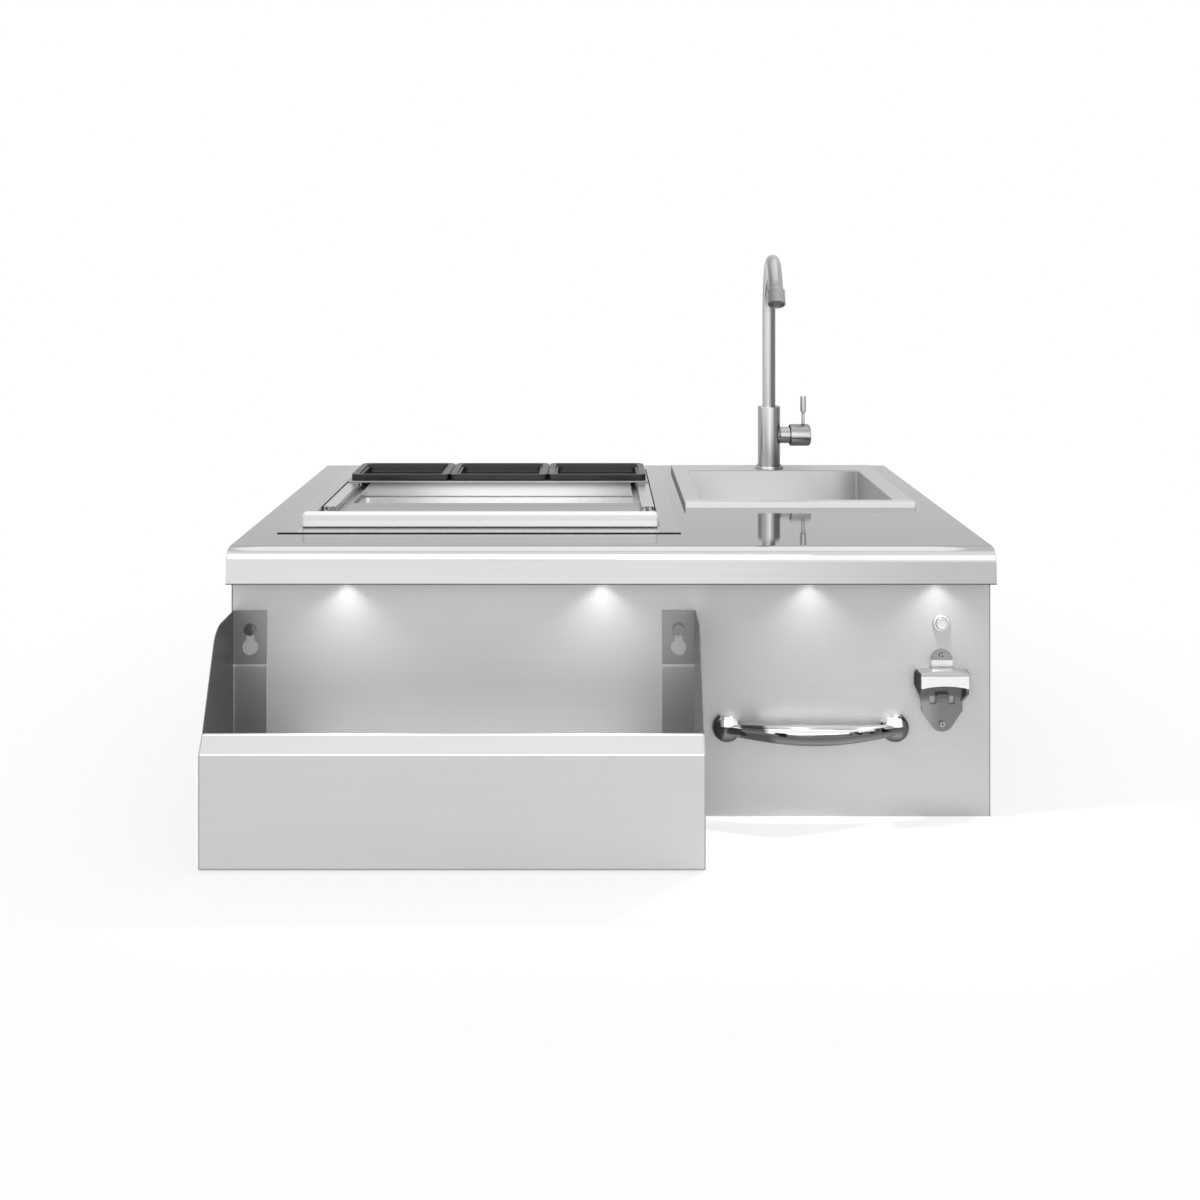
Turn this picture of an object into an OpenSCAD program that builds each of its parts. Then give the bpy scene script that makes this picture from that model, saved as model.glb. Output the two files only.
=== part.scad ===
// Bar sink with ice bin: a stainless bar centre that drops into a counter.
// The origin is the middle of the underside, +X to the right, +Y to the back, +Z up.
// The front face of the apron lies half the depth in front of the origin.

/* [Cabinet] */
// Worktop left of the bin's opening
side_left = 73.5; // [70:0.5:120]
// Worktop between the bin's opening and the sink's rim
middle_gap = 47; // [46:0.5:80]
// Worktop right of the sink's rim
side_right = 41.5; // [36:0.5:80]
// Worktop in front of the bin's opening, from the apron's front
front_margin = 118.5; // [112:0.5:150]
// Worktop behind the bin's opening
back_margin = 44; // [40:0.5:80]
// Height from the underside to the worktop's surface
unit_h = 381; // [370:1:460]
// Thickness of the folded sheet
sheet_t = 1.2; // [0.9:0.1:2]
// Height of the apron and of the down-turned sides
apron_h = 50; // [44:1:60]
// Radius of the rounded front edge
nose_r = 18; // [10:1:22]
// How far the apron stands in front of the panel
apron_overhang = 22; // [20:1:30]
// Width of the folded flanges inside the carcass
fold_w = 18; // [14:1:24]
// Air between a down-turned side and the carcass
skirt_gap = 0.3; // [0.2:0.1:1]

/* [Ice bin] */
// Width of the bin's opening
bin_w = 535; // [420:1:640]
// Depth of the bin's opening, front to back
bin_d = 447.5; // [400:0.5:540]
// Depth of the bin below the worktop
bin_depth = 290; // [240:1:300]
// Thickness of the bin's flange
bin_flange_t = 1.5; // [1:0.1:2]
// Width of the flange at its front
bin_flange_front = 34.5; // [30:0.5:38]
// Width of the flange at its left
bin_flange_left = 25; // [20:0.5:28]
// Width of the flange at its right
bin_flange_right = 28; // [20:0.5:30]
// Width of the flange at its back
bin_flange_back = 28; // [20:0.5:30]
// Wall of the bin
bin_wall = 1; // [0.8:0.1:1.5]
// Depth at which the bin's wall steps in
bin_ledge_z = 50; // [40:1:60]
// Width of that step
bin_ledge = 6; // [4:0.5:10]
// Corner radius of the lower bin
bin_corner_r = 14; // [8:1:20]
// Thickness of the foam round the bin
foam_t = 20; // [14:1:22]

/* [Lid and runners] */
// Width of a runner's top
runner_w = 20; // [16:0.5:24]
// Height of a runner's web
runner_h = 12.7; // [10:0.1:16]
// Width of the inward flange that carries the lid
runner_foot = 10; // [8:0.5:14]
// Gap between a runner and the bin's wall
runner_side = 1.5; // [1:0.1:2.5]
// Length of the runners below the closed lid
runner_below = 70.5; // [50:0.5:90]
// Depth of the lid's upper face below the worktop
lid_drop = 10; // [8:0.5:12]
// Open gap between the closed lid and the trays
lid_room = 123.6; // [122:0.1:150]
// Gap between the lid's edge and a runner's web
lid_side = 0.5; // [0.3:0.1:1]
// Height of the lid's bar above the worktop
lid_bar_h = 23.5; // [18:0.5:28]
// Depth of the lid's bar, front to back
lid_bar_d = 14; // [12:0.5:18]
// How far the lid's bar stands in front of the bin's opening
lid_bar_over = 6; // [4:0.5:10]
// Gap between an end of the lid's bar and the side of the bin's opening
bar_side = 4; // [1:0.5:10]

/* [Trays] */
// Gap between the outer trays and the sides of the bin's opening
tray_side = 5.4; // [5:0.1:8]
// Gap between two trays
tray_gap = 0.8; // [0.6:0.1:2]
// Gap between the trays and the back of the bin's opening
tray_back = 4; // [3:0.1:8]
// Depth of one tray over its rim, front to back
tray_d = 108.4; // [104:0.1:109]
// Height of the tray's rim
tray_rim_h = 11; // [8:0.5:14]
// Depth of the tray below its rim's skirt, so that the lid slides below it
tray_depth = 7; // [5:0.5:10]
// Wall of the tray
tray_wall = 2.4; // [2:0.1:3]
// Height of the carrier's frame on the runners
carrier_t = 2.5; // [2:0.1:3]

/* [Sink] */
// Width of the basin
basin_w = 312; // [290:1:316]
// Depth of the basin, front to back
basin_d = 246; // [230:1:248]
// Height of the basin from its rim to its floor
basin_h = 165; // [140:1:190]
// Worktop behind the sink's rim
sink_back = 41; // [38:0.5:60]
// Height of the rim above the worktop
rim_h = 8.5; // [6:0.5:10]
// Width of the rim at its front
rim_front = 20.5; // [18:0.5:24]
// Width of the rim at its left
rim_left = 27; // [24:0.5:30]
// Width of the rim at its right
rim_right = 31; // [24:0.5:32]
// Width of the deck behind the basin that carries the tap
rim_back = 53; // [50:0.5:56]
// Corner radius of the basin
basin_r = 6; // [4:0.5:12]
// Radius of the drain hole
drain_r = 45; // [40:0.5:46]

/* [Tap] */
// How far the tap stands left of the basin's middle
tap_side = 3; // [0:0.5:10]
// Radius of the base ring
ring_r = 26; // [24:0.5:26]
// Radius of the tap's body
body_r = 20.5; // [18:0.5:22]
// Height of the tap's body above the worktop
body_h = 122.8; // [105:0.5:140]
// Radius of the spout tube
spout_r = 12; // [10:0.5:13]
// Radius of the spout's bend, to the middle of the tube
bend_r = 97; // [80:1:110]
// Height of the spout above the worktop
spout_h = 404; // [340:1:460]
// Angle through which the spout bends
bend_angle = 150; // [140:1:170]
// Angle of the spout at rest, turned to the left
spout_turn = 5; // [0:1:20]
// Height of the side valve above the worktop
valve_h = 69.2; // [60:0.5:80]
// Radius of the side valve's neck
neck_r = 15; // [12:0.5:15]
// Radius of the lever's hub
hub_r = 20; // [19:0.5:22]
// Length of the lever's hub
hub_l = 37.3; // [30:0.5:42]
// Height of the lever's top above the worktop
lever_top = 141.4; // [120:0.5:160]
// Radius of the lever's grip
lever_r = 5.3; // [4:0.1:6]

/* [Bottle rail] */
// How much wider the bottle rail is than the bin's opening
rail_over = 113; // [80:1:114]
// Distance of the rail's left side from the worktop's left side
rail_inset = 4; // [2:0.5:10]
// How far the rail stands out from the panel
rail_d = 145; // [120:1:160]
// Height of the trough's upright front
rail_front_h = 147; // [110:1:150]
// Gap between the trough's floor and the underside of the unit
rail_lift_off = 2.5; // [2:0.5:6]
// Height of the sloped lip
lip_h = 21; // [14:1:26]
// How far the lip slopes back
lip_back = 13; // [8:1:18]
// Thickness of the rail's sheet
rail_t = 1.5; // [1:0.1:2]
// Depth of the brackets' top below the worktop
bracket_drop = 92; // [88:0.5:98]
// Width of a bracket's flange against the panel
bracket_flange = 47; // [40:1:56]
// Distance of the keyhole from the side of the rail
keyhole_in = 24.5; // [20:0.5:28]
// Width of the keyhole's slot
keyhole_slot = 11.7; // [10:0.1:13]
// Diameter of the keyhole's wide end
keyhole_d = 22.7; // [20:0.1:24]
// Distance from the slot's end to the wide end
keyhole_l = 25.5; // [22:0.5:30]
// Depth of the studs below the worktop
stud_z = 118; // [112:1:124]

/* [Bow handle] */
// Distance from the bottle rail's right side to the middle of the left rosette
handle_left = 43.5; // [36:0.5:60]
// Distance from the middle of the right rosette to the middle of the opener
handle_right = 66; // [64:0.5:80]
// Depth of the handle below the worktop
handle_z = 255.5; // [230:0.5:280]
// Radius of a rosette
rosette_r = 19.8; // [17:0.1:22]
// Length of a rosette's dome
rosette_l = 17; // [14:0.5:19]
// Radius of the bar at its ends
bar_end_r = 8; // [7:0.5:9]
// Radius of the bar at its middle
bar_mid_r = 13.5; // [10:0.5:15]
// How far the middle of the bar stands out from the panel
bar_out = 30; // [26:0.5:40]

/* [Bottle opener] */
// Distance from the opener and the push button to the worktop's right side
opener_in = 70.5; // [66:0.5:78]
// Top of the opener below the worktop
opener_z = 145.7; // [140:0.1:160]
// Height of the opener
opener_h = 115; // [105:1:125]
// Width of the upper ear
ear_w = 29.4; // [26:0.1:34]
// Width of the hood at the panel
hood_w = 76.8; // [70:0.1:82]
// Width of the hood's front band
band_w = 65.6; // [60:0.1:68]
// Width of the lower plate
plate_w = 57.4; // [52:0.1:60]
// Thickness of the plate
opener_t = 4; // [3:0.5:5]
// How far the hood stands out from the panel
hood_out = 20; // [18:0.5:26]
// Wall of the hood
hood_t = 3.5; // [3:0.1:4]
// Distance between the opener's screws
screw_gap = 95.5; // [88:0.5:100]

/* [Push button and lamps] */
// Diameter of the button's bezel
bezel_d = 24; // [23:0.5:28]
// Diameter of the button's barrel
barrel_d = 21.6; // [19:0.1:22]
// Diameter of the button's cap
cap_d = 16; // [12:0.1:17]
// Travel of the button
button_travel = 3; // [2:0.5:4]
// Depth of the button below the worktop
button_z = 110; // [100:1:120]
// Radius of a lamp's lens
lens_r = 7; // [5:0.5:7.5]

/* [Hidden] */
$fn = 64;
// Overrun of a cut past the face that it opens
cut = 1;
// Gap between pieces that move against each other
gap = 0.3;
// Radial clearance of a running fit
run_fit = 0.05;

rim_w = rim_left + basin_w + rim_right;
rim_d = rim_front + basin_d + rim_back;
unit_w = side_left + bin_w + middle_gap + rim_w + side_right;
unit_d = front_margin + bin_d + back_margin;
front_y = -unit_d / 2;
back_y = unit_d / 2;
panel_y = front_y + apron_overhang;
carcass_w = unit_w - 2 * (sheet_t + skirt_gap);
carcass_back = back_y - sheet_t - skirt_gap;
under_top = unit_h - sheet_t;
top_joint = unit_h - apron_h;

bin_x = side_left + bin_w / 2 - unit_w / 2;
bin_y0 = front_y + front_margin;
bin_y1 = bin_y0 + bin_d;
foot_gap = 3;
bin_spigot_r = 12.5;
bin_spigot_l = 62;
bin_thread_r = 13.5;
bin_nut_r = 24;
bin_nut_h = 8;

tray_w = (bin_w - 2 * tray_side - 2 * tray_gap) / 3;
tray_pitch = tray_w + tray_gap;
tray_y0 = bin_y1 - tray_back - tray_d;
tray_z = unit_h + carrier_t + 2 * gap;
lid_y1 = tray_y0 - lid_room;
runner_x = bin_w / 2 - runner_side;
runner_y0 = lid_y1 - runner_below;
rivet_r = 2.4;
lid_w = 2 * (runner_x - runner_w - lid_side);
lid_hem = 5;
bar_w = bin_w - 2 * bar_side;
bar_y0 = bin_y0 - lid_bar_over;
bar_round_r = 4;

sink_x = unit_w / 2 - side_right - rim_right - basin_w / 2;
basin_y1 = back_y - sink_back - rim_back;
basin_y0 = basin_y1 - basin_d;
basin_floor = unit_h + rim_h - basin_h;
tap_x = sink_x - tap_side;
tap_y = basin_y1 + rim_back / 2;
deck_z = unit_h + rim_h;
shank_r = 16;

rail_w = bin_w + rail_over;
rail_x = rail_inset + rail_w / 2 - unit_w / 2;
rail_z0 = rail_lift_off;
bracket_h = unit_h - bracket_drop - rail_z0;
rail_front_y = panel_y - rail_d;
stud_height = unit_h - stud_z;
stud_r = keyhole_slot / 2 - gap;
stud_head_r = 8;
opener_x = unit_w / 2 - opener_in;
handle_x0 = rail_x + rail_w / 2 + handle_left;
handle_x1 = opener_x - handle_right;
handle_l = handle_x1 - handle_x0;
handle_x = (handle_x0 + handle_x1) / 2;

// A plate with rounded corners, from its lower left corner
module rounded_plate(w, d, r) {
    translate([r, 0]) square([w - 2 * r, d]);
    translate([0, r]) square([w, d - 2 * r]);
    for (x = [r, w - r], y = [r, d - r]) translate([x, y]) circle(r);
}

// A plate that stands across the front, drawn in X and Z, its front face at y
module upright(y, t) {
    translate([0, y + t, 0]) rotate([90, 0, 0]) linear_extrude(t) children();
}

// A profile drawn in Y and Z, run along X from x
module along_x(x, l) {
    translate([x, 0, 0]) rotate([90, 0, 90]) linear_extrude(l) children();
}

// A cylinder along X from x
module rod_x(x, y, z, r, l) {
    translate([x, y, z]) rotate([0, 90, 0]) cylinder(h = l, r = r);
}

// A cylinder along Y from y towards the back
module rod_y(x, y, z, r, l) {
    translate([x, y + l, z]) rotate([90, 0, 0]) cylinder(h = l, r = r);
}

// Outline of the worktop's end in Y and Z, drawn in by t
module worktop_outline(t) {
    r = nose_r - t;
    y0 = front_y + t;
    y1 = back_y - t;
    z1 = unit_h - t;
    translate([y0 + r, z1 - r]) circle(r);
    translate([y0 + r, top_joint]) square([y1 - y0 - r, z1 - top_joint]);
    translate([y0, top_joint]) square([r + cut, z1 - r - top_joint]);
}

// The worktop's sheet, its two cut-outs, its end plates and its back skirt
module worktop() {
    color([0.72, 0.72, 0.72]) difference() {
        union() {
            along_x(-unit_w / 2, unit_w) difference() {
                worktop_outline(0);
                difference() {
                    worktop_outline(sheet_t);
                    translate([front_y, top_joint]) square([apron_overhang, sheet_t]);
                }
            }
            for (side = [-unit_w / 2, unit_w / 2 - sheet_t])
                along_x(side, sheet_t) worktop_outline(0);
        }
        translate([bin_x - bin_w / 2 - foot_gap, bin_y0 - foot_gap, under_top - cut])
            cube([bin_w + 2 * foot_gap, bin_d + 2 * foot_gap, sheet_t + 2 * cut]);
        translate([sink_x - basin_w / 2 - foot_gap, basin_y0 - foot_gap, under_top - cut])
            cube([basin_w + 2 * foot_gap, basin_d + 2 * foot_gap, sheet_t + 2 * cut]);
        translate([tap_x, tap_y, under_top - cut])
            cylinder(h = sheet_t + 2 * cut, r = shank_r + foot_gap);
        for (x = lamp_places) translate([x, lamp_y, top_joint - cut])
            cylinder(h = sheet_t + 2 * cut, r = lens_r + gap);
    }
}

// Places of the four lamps along the apron, as shares of the worktop's half width
lamp_shares = [-0.694, -0.024, 0.519, 0.853];
lamp_places = [for (s = lamp_shares) s * unit_w / 2];
lamp_y = front_y + apron_overhang / 2;
lamp_flange_r = lens_r + 1.6;
lamp_flange_t = 1;
lamp_body_h = 12;

// The front panel, drilled for all that is fixed to it
screw_r = 2.1;
stud_thread_r = 4;
handle_thread_r = 3;
module front_panel() {
    color([0.76, 0.76, 0.76]) upright(panel_y, sheet_t) difference() {
        translate([-carcass_w / 2, 0]) square([carcass_w, under_top]);
        for (x = stud_places) translate([x, stud_height]) circle(stud_thread_r + gap);
        for (x = rosette_places) translate([x, unit_h - handle_z]) circle(handle_thread_r + gap);
        for (z = screw_places) translate([opener_x, z]) circle(screw_r + gap);
        translate([opener_x, unit_h - button_z]) circle(barrel_d / 2 + gap);
    }
}

// A folded side of the carcass with flanges to the front, the back and below
module carcass_side() {
    x1 = carcass_w / 2;
    y0 = panel_y + sheet_t;
    y1 = carcass_back - sheet_t;
    color([0.74, 0.74, 0.74]) {
        translate([x1 - sheet_t, y0, sheet_t]) cube([sheet_t, y1 - y0, under_top - sheet_t]);
        for (y = [y0, y1 - sheet_t]) translate([x1 - fold_w, y, sheet_t])
            cube([fold_w, sheet_t, under_top - sheet_t]);
        translate([x1 - fold_w, y0, sheet_t]) cube([fold_w, y1 - y0, sheet_t]);
    }
}

module left_side() {
    mirror([1, 0, 0]) carcass_side();
}

module right_side() {
    carcass_side();
}

// The back panel with the hole of the lamp cable
grommet_r = 9;
grommet_in = 113.5;
grommet_x = unit_w / 2 - grommet_in;
grommet_z = 70;
module back_panel() {
    color([0.7, 0.7, 0.7]) upright(carcass_back - sheet_t, sheet_t) difference() {
        translate([-carcass_w / 2, 0]) square([carcass_w, under_top]);
        translate([grommet_x, grommet_z]) circle(grommet_r);
    }
}

// The bottom pan with a hole for the bin's drain and an opening under the sink
service_w = 260;
service_d = 200;
module bottom_pan() {
    y0 = panel_y + sheet_t;
    y1 = carcass_back - sheet_t;
    color([0.7, 0.7, 0.7]) difference() {
        translate([-carcass_w / 2, y0, 0]) cube([carcass_w, y1 - y0, sheet_t]);
        translate([bin_x, bin_drain_y, -cut]) cylinder(h = sheet_t + 2 * cut, r = bin_nut_r);
        translate([sink_x - service_w / 2, (basin_y0 + basin_y1 - service_d) / 2, -cut])
            cube([service_w, service_d, sheet_t + 2 * cut]);
    }
}

// Outer shape of the bin below the worktop, drawn in by t, its floor higher by t
bin_drain_y = (bin_y0 + bin_y1) / 2;
module bin_shape(t) {
    z0 = unit_h - bin_depth;
    z1 = unit_h - bin_ledge_z;
    lower = bin_ledge + t;
    translate([bin_x - bin_w / 2 + lower, bin_y0 + lower, z0 + t]) linear_extrude(z1 - z0)
        rounded_plate(bin_w - 2 * lower, bin_d - 2 * lower, bin_corner_r - t);
    translate([bin_x - bin_w / 2 + t, bin_y0 + t, z1 + t])
        cube([bin_w - 2 * t, bin_d - 2 * t, bin_ledge_z + bin_flange_t - t]);
}

// The ice bin: a thin flange on the worktop and a basin with a step in its wall
module ice_bin() {
    w = bin_flange_left + bin_w + bin_flange_right;
    d = bin_flange_front + bin_d + bin_flange_back;
    color([0.8, 0.8, 0.8]) difference() {
        union() {
            translate([bin_x - bin_w / 2 - bin_flange_left, bin_y0 - bin_flange_front, unit_h])
                cube([w, d, bin_flange_t]);
            bin_shape(-bin_wall);
        }
        bin_shape(0);
        translate([bin_x - bin_w / 2, bin_y0, unit_h - cut]) cube([bin_w, bin_d, bin_flange_t + 2 * cut]);
        translate([bin_x, bin_drain_y, unit_h - bin_depth - bin_wall - cut])
            cylinder(h = bin_wall + 2 * cut, r = bin_thread_r + gap);
    }
}

// A moulded foam jacket round the bin's basin
module bin_foam() {
    t = bin_wall + foam_t;
    color([0.9, 0.87, 0.75]) difference() {
        translate([bin_x - bin_w / 2 - t, bin_y0 - t, unit_h - bin_depth - t])
            cube([bin_w + 2 * t, bin_d + 2 * t, bin_depth + t - sheet_t]);
        bin_shape(-bin_wall);
        translate([bin_x, bin_drain_y, unit_h - bin_depth - t - cut])
            cylinder(h = foam_t + 2 * cut, r = bin_nut_r + gap);
    }
}

// The bin's drain: a flange on the floor and a hose spigot below
drain_flange_t = 2;
drain_flange_w = 8;
drain_wall = 2;
drain_thread_l = bin_wall + bin_nut_h + cut;
module bin_drain() {
    floor_z = unit_h - bin_depth;
    color([0.6, 0.6, 0.6]) translate([bin_x, bin_drain_y, 0]) difference() {
        union() {
            translate([0, 0, floor_z])
                cylinder(h = drain_flange_t, r = bin_spigot_r + drain_flange_w);
            translate([0, 0, floor_z - drain_thread_l])
                cylinder(h = drain_thread_l, r = bin_thread_r);
            translate([0, 0, floor_z - bin_spigot_l])
                cylinder(h = bin_spigot_l, r = bin_spigot_r);
        }
        translate([0, 0, floor_z - bin_spigot_l - cut])
            cylinder(h = bin_spigot_l + drain_flange_t + 2 * cut, r = bin_spigot_r - drain_wall);
    }
}

// The nut that clamps the drain to the bin's floor, from below
module bin_drain_nut() {
    color([0.5, 0.5, 0.5])
        translate([bin_x, bin_drain_y, unit_h - bin_depth - bin_wall - bin_nut_h]) difference() {
            cylinder(h = bin_nut_h, r = bin_nut_r, $fn = 6);
            translate([0, 0, -cut]) cylinder(h = bin_nut_h + 2 * cut, r = bin_thread_r + run_fit);
        }
}

// Both sides of the bin, one a mirror of the other
module both_sides() {
    translate([bin_x, 0, 0]) {
        children();
        mirror([1, 0, 0]) children();
    }
}

// Runners: channels along the sides of the opening, each with an inward foot for the lid,
// notched beside the trays
rivet_places = [runner_y0 + runner_w, (runner_y0 + bin_y1) / 2, bin_y1 - runner_w];
rivet_z = unit_h - runner_h / 2;
module runners() {
    t = sheet_t;
    l = bin_y1 - runner_y0;
    foot_x = runner_x - runner_w - runner_foot;
    color([0.78, 0.78, 0.78]) both_sides() difference() {
        translate([0, runner_y0, unit_h - runner_h]) {
            translate([runner_x - runner_w, 0, runner_h - t]) cube([runner_w, l, t]);
            translate([runner_x - t, 0, 0]) cube([t, l, runner_h]);
            translate([runner_x - runner_w, 0, 0]) cube([t, l, runner_h]);
            translate([foot_x, 0, 0]) cube([runner_foot + t, l, t]);
        }
        for (y = rivet_places) rod_x(runner_x - t - cut, y, rivet_z, rivet_r, t + 2 * cut);
        translate([foot_x, tray_y0 + rim_end - tray_air, tray_z - tray_depth - tray_air])
            cube([tray_pitch + tray_w / 2 - rim_side + tray_air - foot_x, l, runner_h]);
    }
}

// Rivets that hold the runners a little off the bin's walls
rivet_head_r = 4;
rivet_head_t = 1.5;
module runner_rivets() {
    t = sheet_t;
    color([0.6, 0.6, 0.6]) both_sides() for (y = rivet_places) {
        rod_x(runner_x, y, rivet_z, rivet_head_r, bin_w / 2 - runner_x);
        rod_x(runner_x - t - cut / 2, y, rivet_z, rivet_r, t + cut);
        rod_x(runner_x - t - rivet_head_t, y, rivet_z, rivet_head_r, rivet_head_t);
    }
}

// The lid: a flat sheet whose edges slide on the runners' feet, with a front riser and a hem
module lid_sheet() {
    t = sheet_t;
    y0 = bar_y0 + lid_bar_d - 2 * t;
    z = unit_h - lid_drop - t;
    hem_w = lid_w - 2 * (runner_foot + foot_gap);
    color([0.66, 0.66, 0.66]) union() {
        translate([bin_x - lid_w / 2, y0, z]) cube([lid_w, lid_y1 - y0, t]);
        translate([bin_x - lid_w / 2, y0, z]) cube([lid_w, t, lid_drop + lid_bar_h - bar_round_r]);
        translate([bin_x - hem_w / 2, lid_y1 - t, z - lid_hem]) cube([hem_w, t, lid_hem + t]);
    }
}

// The lid's front bar: a folded hollow section with closed ends
module lid_bar() {
    t = sheet_t;
    z0 = unit_h + bin_flange_t + gap;
    h = lid_bar_h - bin_flange_t - gap;
    color([0.85, 0.85, 0.85]) {
        along_x(bin_x - bar_w / 2 + t, bar_w - 2 * t) translate([bar_y0, z0]) difference() {
            rounded_plate(lid_bar_d, h, bar_round_r);
            translate([t, t]) rounded_plate(lid_bar_d - 2 * t, h - 2 * t, bar_round_r - t);
            translate([bar_round_r, -cut]) square([lid_bar_d - bar_round_r - t, bar_round_r + cut]);
        }
        for (x = [bin_x - bar_w / 2, bin_x + bar_w / 2 - t])
            along_x(x, t) translate([bar_y0, z0]) rounded_plate(lid_bar_d, h, bar_round_r);
    }
}

// The tray carrier: a frame across the runners with two lugs that keep it in place
rim_side = 14;
rim_end = 8;
tray_air = 1;
carrier_front = 6;
lug_l = 10;
lug_h = 8;
module tray_carrier() {
    w = 2 * runner_x - tray_air;
    y0 = tray_y0 - carrier_front;
    y1 = bin_y1 - tray_air;
    z = unit_h + gap;
    hole_w = tray_w - 2 * rim_side + 2 * tray_air;
    hole_d = tray_d - 2 * rim_end + 2 * tray_air;
    lug_x = runner_x - runner_w - tray_air - sheet_t;
    color([0.5, 0.5, 0.5]) difference() {
        union() {
            translate([bin_x - w / 2, y0, z]) cube([w, y1 - y0, carrier_t]);
            both_sides() translate([lug_x, y0, z - lug_h]) cube([sheet_t, lug_l, lug_h + sheet_t]);
        }
        for (i = [-1:1])
            translate([bin_x + i * tray_pitch - hole_w / 2, tray_y0 + rim_end - tray_air, z - cut])
                cube([hole_w, hole_d, carrier_t + 2 * cut]);
    }
}

// A condiment tray: a stepped rim with a skirt, and a straight basin that hangs below
tray_r = 9;
step_w = 4;
step_h = 4;
module tray(i) {
    t = tray_wall;
    body_w = tray_w - 2 * rim_side;
    body_d = tray_d - 2 * rim_end;
    color([0.12, 0.12, 0.12])
        translate([bin_x + i * tray_pitch - tray_w / 2, tray_y0, tray_z]) difference() {
            union() {
                linear_extrude(tray_rim_h) difference() {
                    rounded_plate(tray_w, tray_d, tray_r);
                    translate([t, t]) rounded_plate(tray_w - 2 * t, tray_d - 2 * t, tray_r - t);
                }
                translate([0, 0, tray_rim_h - step_h - t]) linear_extrude(step_h + t)
                    translate([t / 2, t / 2]) rounded_plate(tray_w - t, tray_d - t, tray_r - t / 2);
                translate([rim_side, rim_end, -tray_depth])
                    linear_extrude(tray_depth + tray_rim_h - step_h)
                        rounded_plate(body_w, body_d, tray_r);
            }
            translate([rim_side + t, rim_end + t, t - tray_depth])
                linear_extrude(tray_depth + tray_rim_h)
                    rounded_plate(body_w - 2 * t, body_d - 2 * t, tray_r - t);
            translate([rim_side + t - step_w, rim_end + t - step_w, tray_rim_h - step_h])
                linear_extrude(step_h + cut)
                    rounded_plate(body_w - 2 * (t - step_w), body_d - 2 * (t - step_w), tray_r);
        }
}

module tray_left() {
    tray(-1);
}

module tray_centre() {
    tray(0);
}

module tray_right() {
    tray(1);
}

// The sink: a raised rim and deck with a turned-down edge, and a sharp-cornered basin
rim_corner_r = 3;
module sink_bowl() {
    t = sheet_t;
    x0 = sink_x - basin_w / 2 - rim_left;
    y0 = basin_y0 - rim_front;
    color([0.8, 0.8, 0.8]) difference() {
        union() {
            translate([x0, y0, unit_h]) linear_extrude(rim_h) difference() {
                rounded_plate(rim_w, rim_d, rim_corner_r);
                translate([t, t]) rounded_plate(rim_w - 2 * t, rim_d - 2 * t, rim_corner_r - t);
            }
            translate([x0 + t / 2, y0 + t / 2, deck_z - t]) cube([rim_w - t, rim_d - t, t]);
            translate([sink_x - basin_w / 2 - t, basin_y0 - t, basin_floor - t])
                linear_extrude(basin_h + t)
                    rounded_plate(basin_w + 2 * t, basin_d + 2 * t, basin_r + t);
        }
        translate([sink_x - basin_w / 2, basin_y0, basin_floor]) linear_extrude(basin_h + cut)
            rounded_plate(basin_w, basin_d, basin_r);
        translate([sink_x, drain_y, basin_floor - t - cut])
            cylinder(h = t + 2 * cut, r = drain_r);
        translate([tap_x, tap_y, deck_z - t - cut])
            cylinder(h = t + 2 * cut, r = shank_r + gap);
    }
}

// Clips that pull the sink's rim down on the worktop, from below
drain_y = (basin_y0 + basin_y1) / 2;
clip_w = 16;
clip_reach = 20;
clip_drop = 24;
clip_t = 2;
clip_shares = [-0.3, 0.3];
module sink_clips() {
    wall_x = basin_w / 2 + sheet_t;
    color([0.6, 0.6, 0.6]) translate([sink_x, drain_y, under_top]) for (s = clip_shares)
        for (turn = [0, 1]) mirror([turn, 0, 0])
            translate([wall_x, s * basin_d - clip_w / 2, 0]) {
                translate([0, 0, -clip_drop]) cube([clip_t, clip_w, clip_drop]);
                translate([0, 0, -clip_t]) cube([clip_reach, clip_w, clip_t]);
            }
}

// The drain's body: a flange on the basin's floor, a cup and a threaded tail
strainer_flange_t = 1.6;
strainer_flange_w = 9;
strainer_cup_h = 42;
strainer_wall = 1.6;
cup_air = 1;
strainer_cup_r = drain_r - cup_air;
tail_r = 19;
tail_l = 26;
tail_wall = 1.5;
cup_floor = basin_floor - sheet_t - strainer_cup_h;
module strainer_body() {
    w = strainer_wall;
    color([0.7, 0.7, 0.7]) translate([sink_x, drain_y, 0]) difference() {
        union() {
            translate([0, 0, basin_floor])
                cylinder(h = strainer_flange_t, r = drain_r + strainer_flange_w);
            translate([0, 0, cup_floor]) cylinder(h = basin_floor - cup_floor, r = strainer_cup_r);
            translate([0, 0, cup_floor - tail_l]) cylinder(h = tail_l, r = tail_r);
        }
        translate([0, 0, cup_floor + w]) cylinder(h = basin_h, r = strainer_cup_r - w);
        translate([0, 0, cup_floor - tail_l - cut])
            cylinder(h = tail_l + w + 2 * cut, r = tail_r - tail_wall);
    }
}

// The ring nut that clamps the drain's body from below
strainer_nut_h = 10;
strainer_nut_w = 9;
module strainer_nut() {
    color([0.3, 0.3, 0.3])
        translate([sink_x, drain_y, basin_floor - sheet_t - strainer_nut_h]) difference() {
            cylinder(h = strainer_nut_h, r = drain_r + strainer_nut_w);
            translate([0, 0, -cut])
                cylinder(h = strainer_nut_h + 2 * cut, r = strainer_cup_r + run_fit);
        }
}

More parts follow.
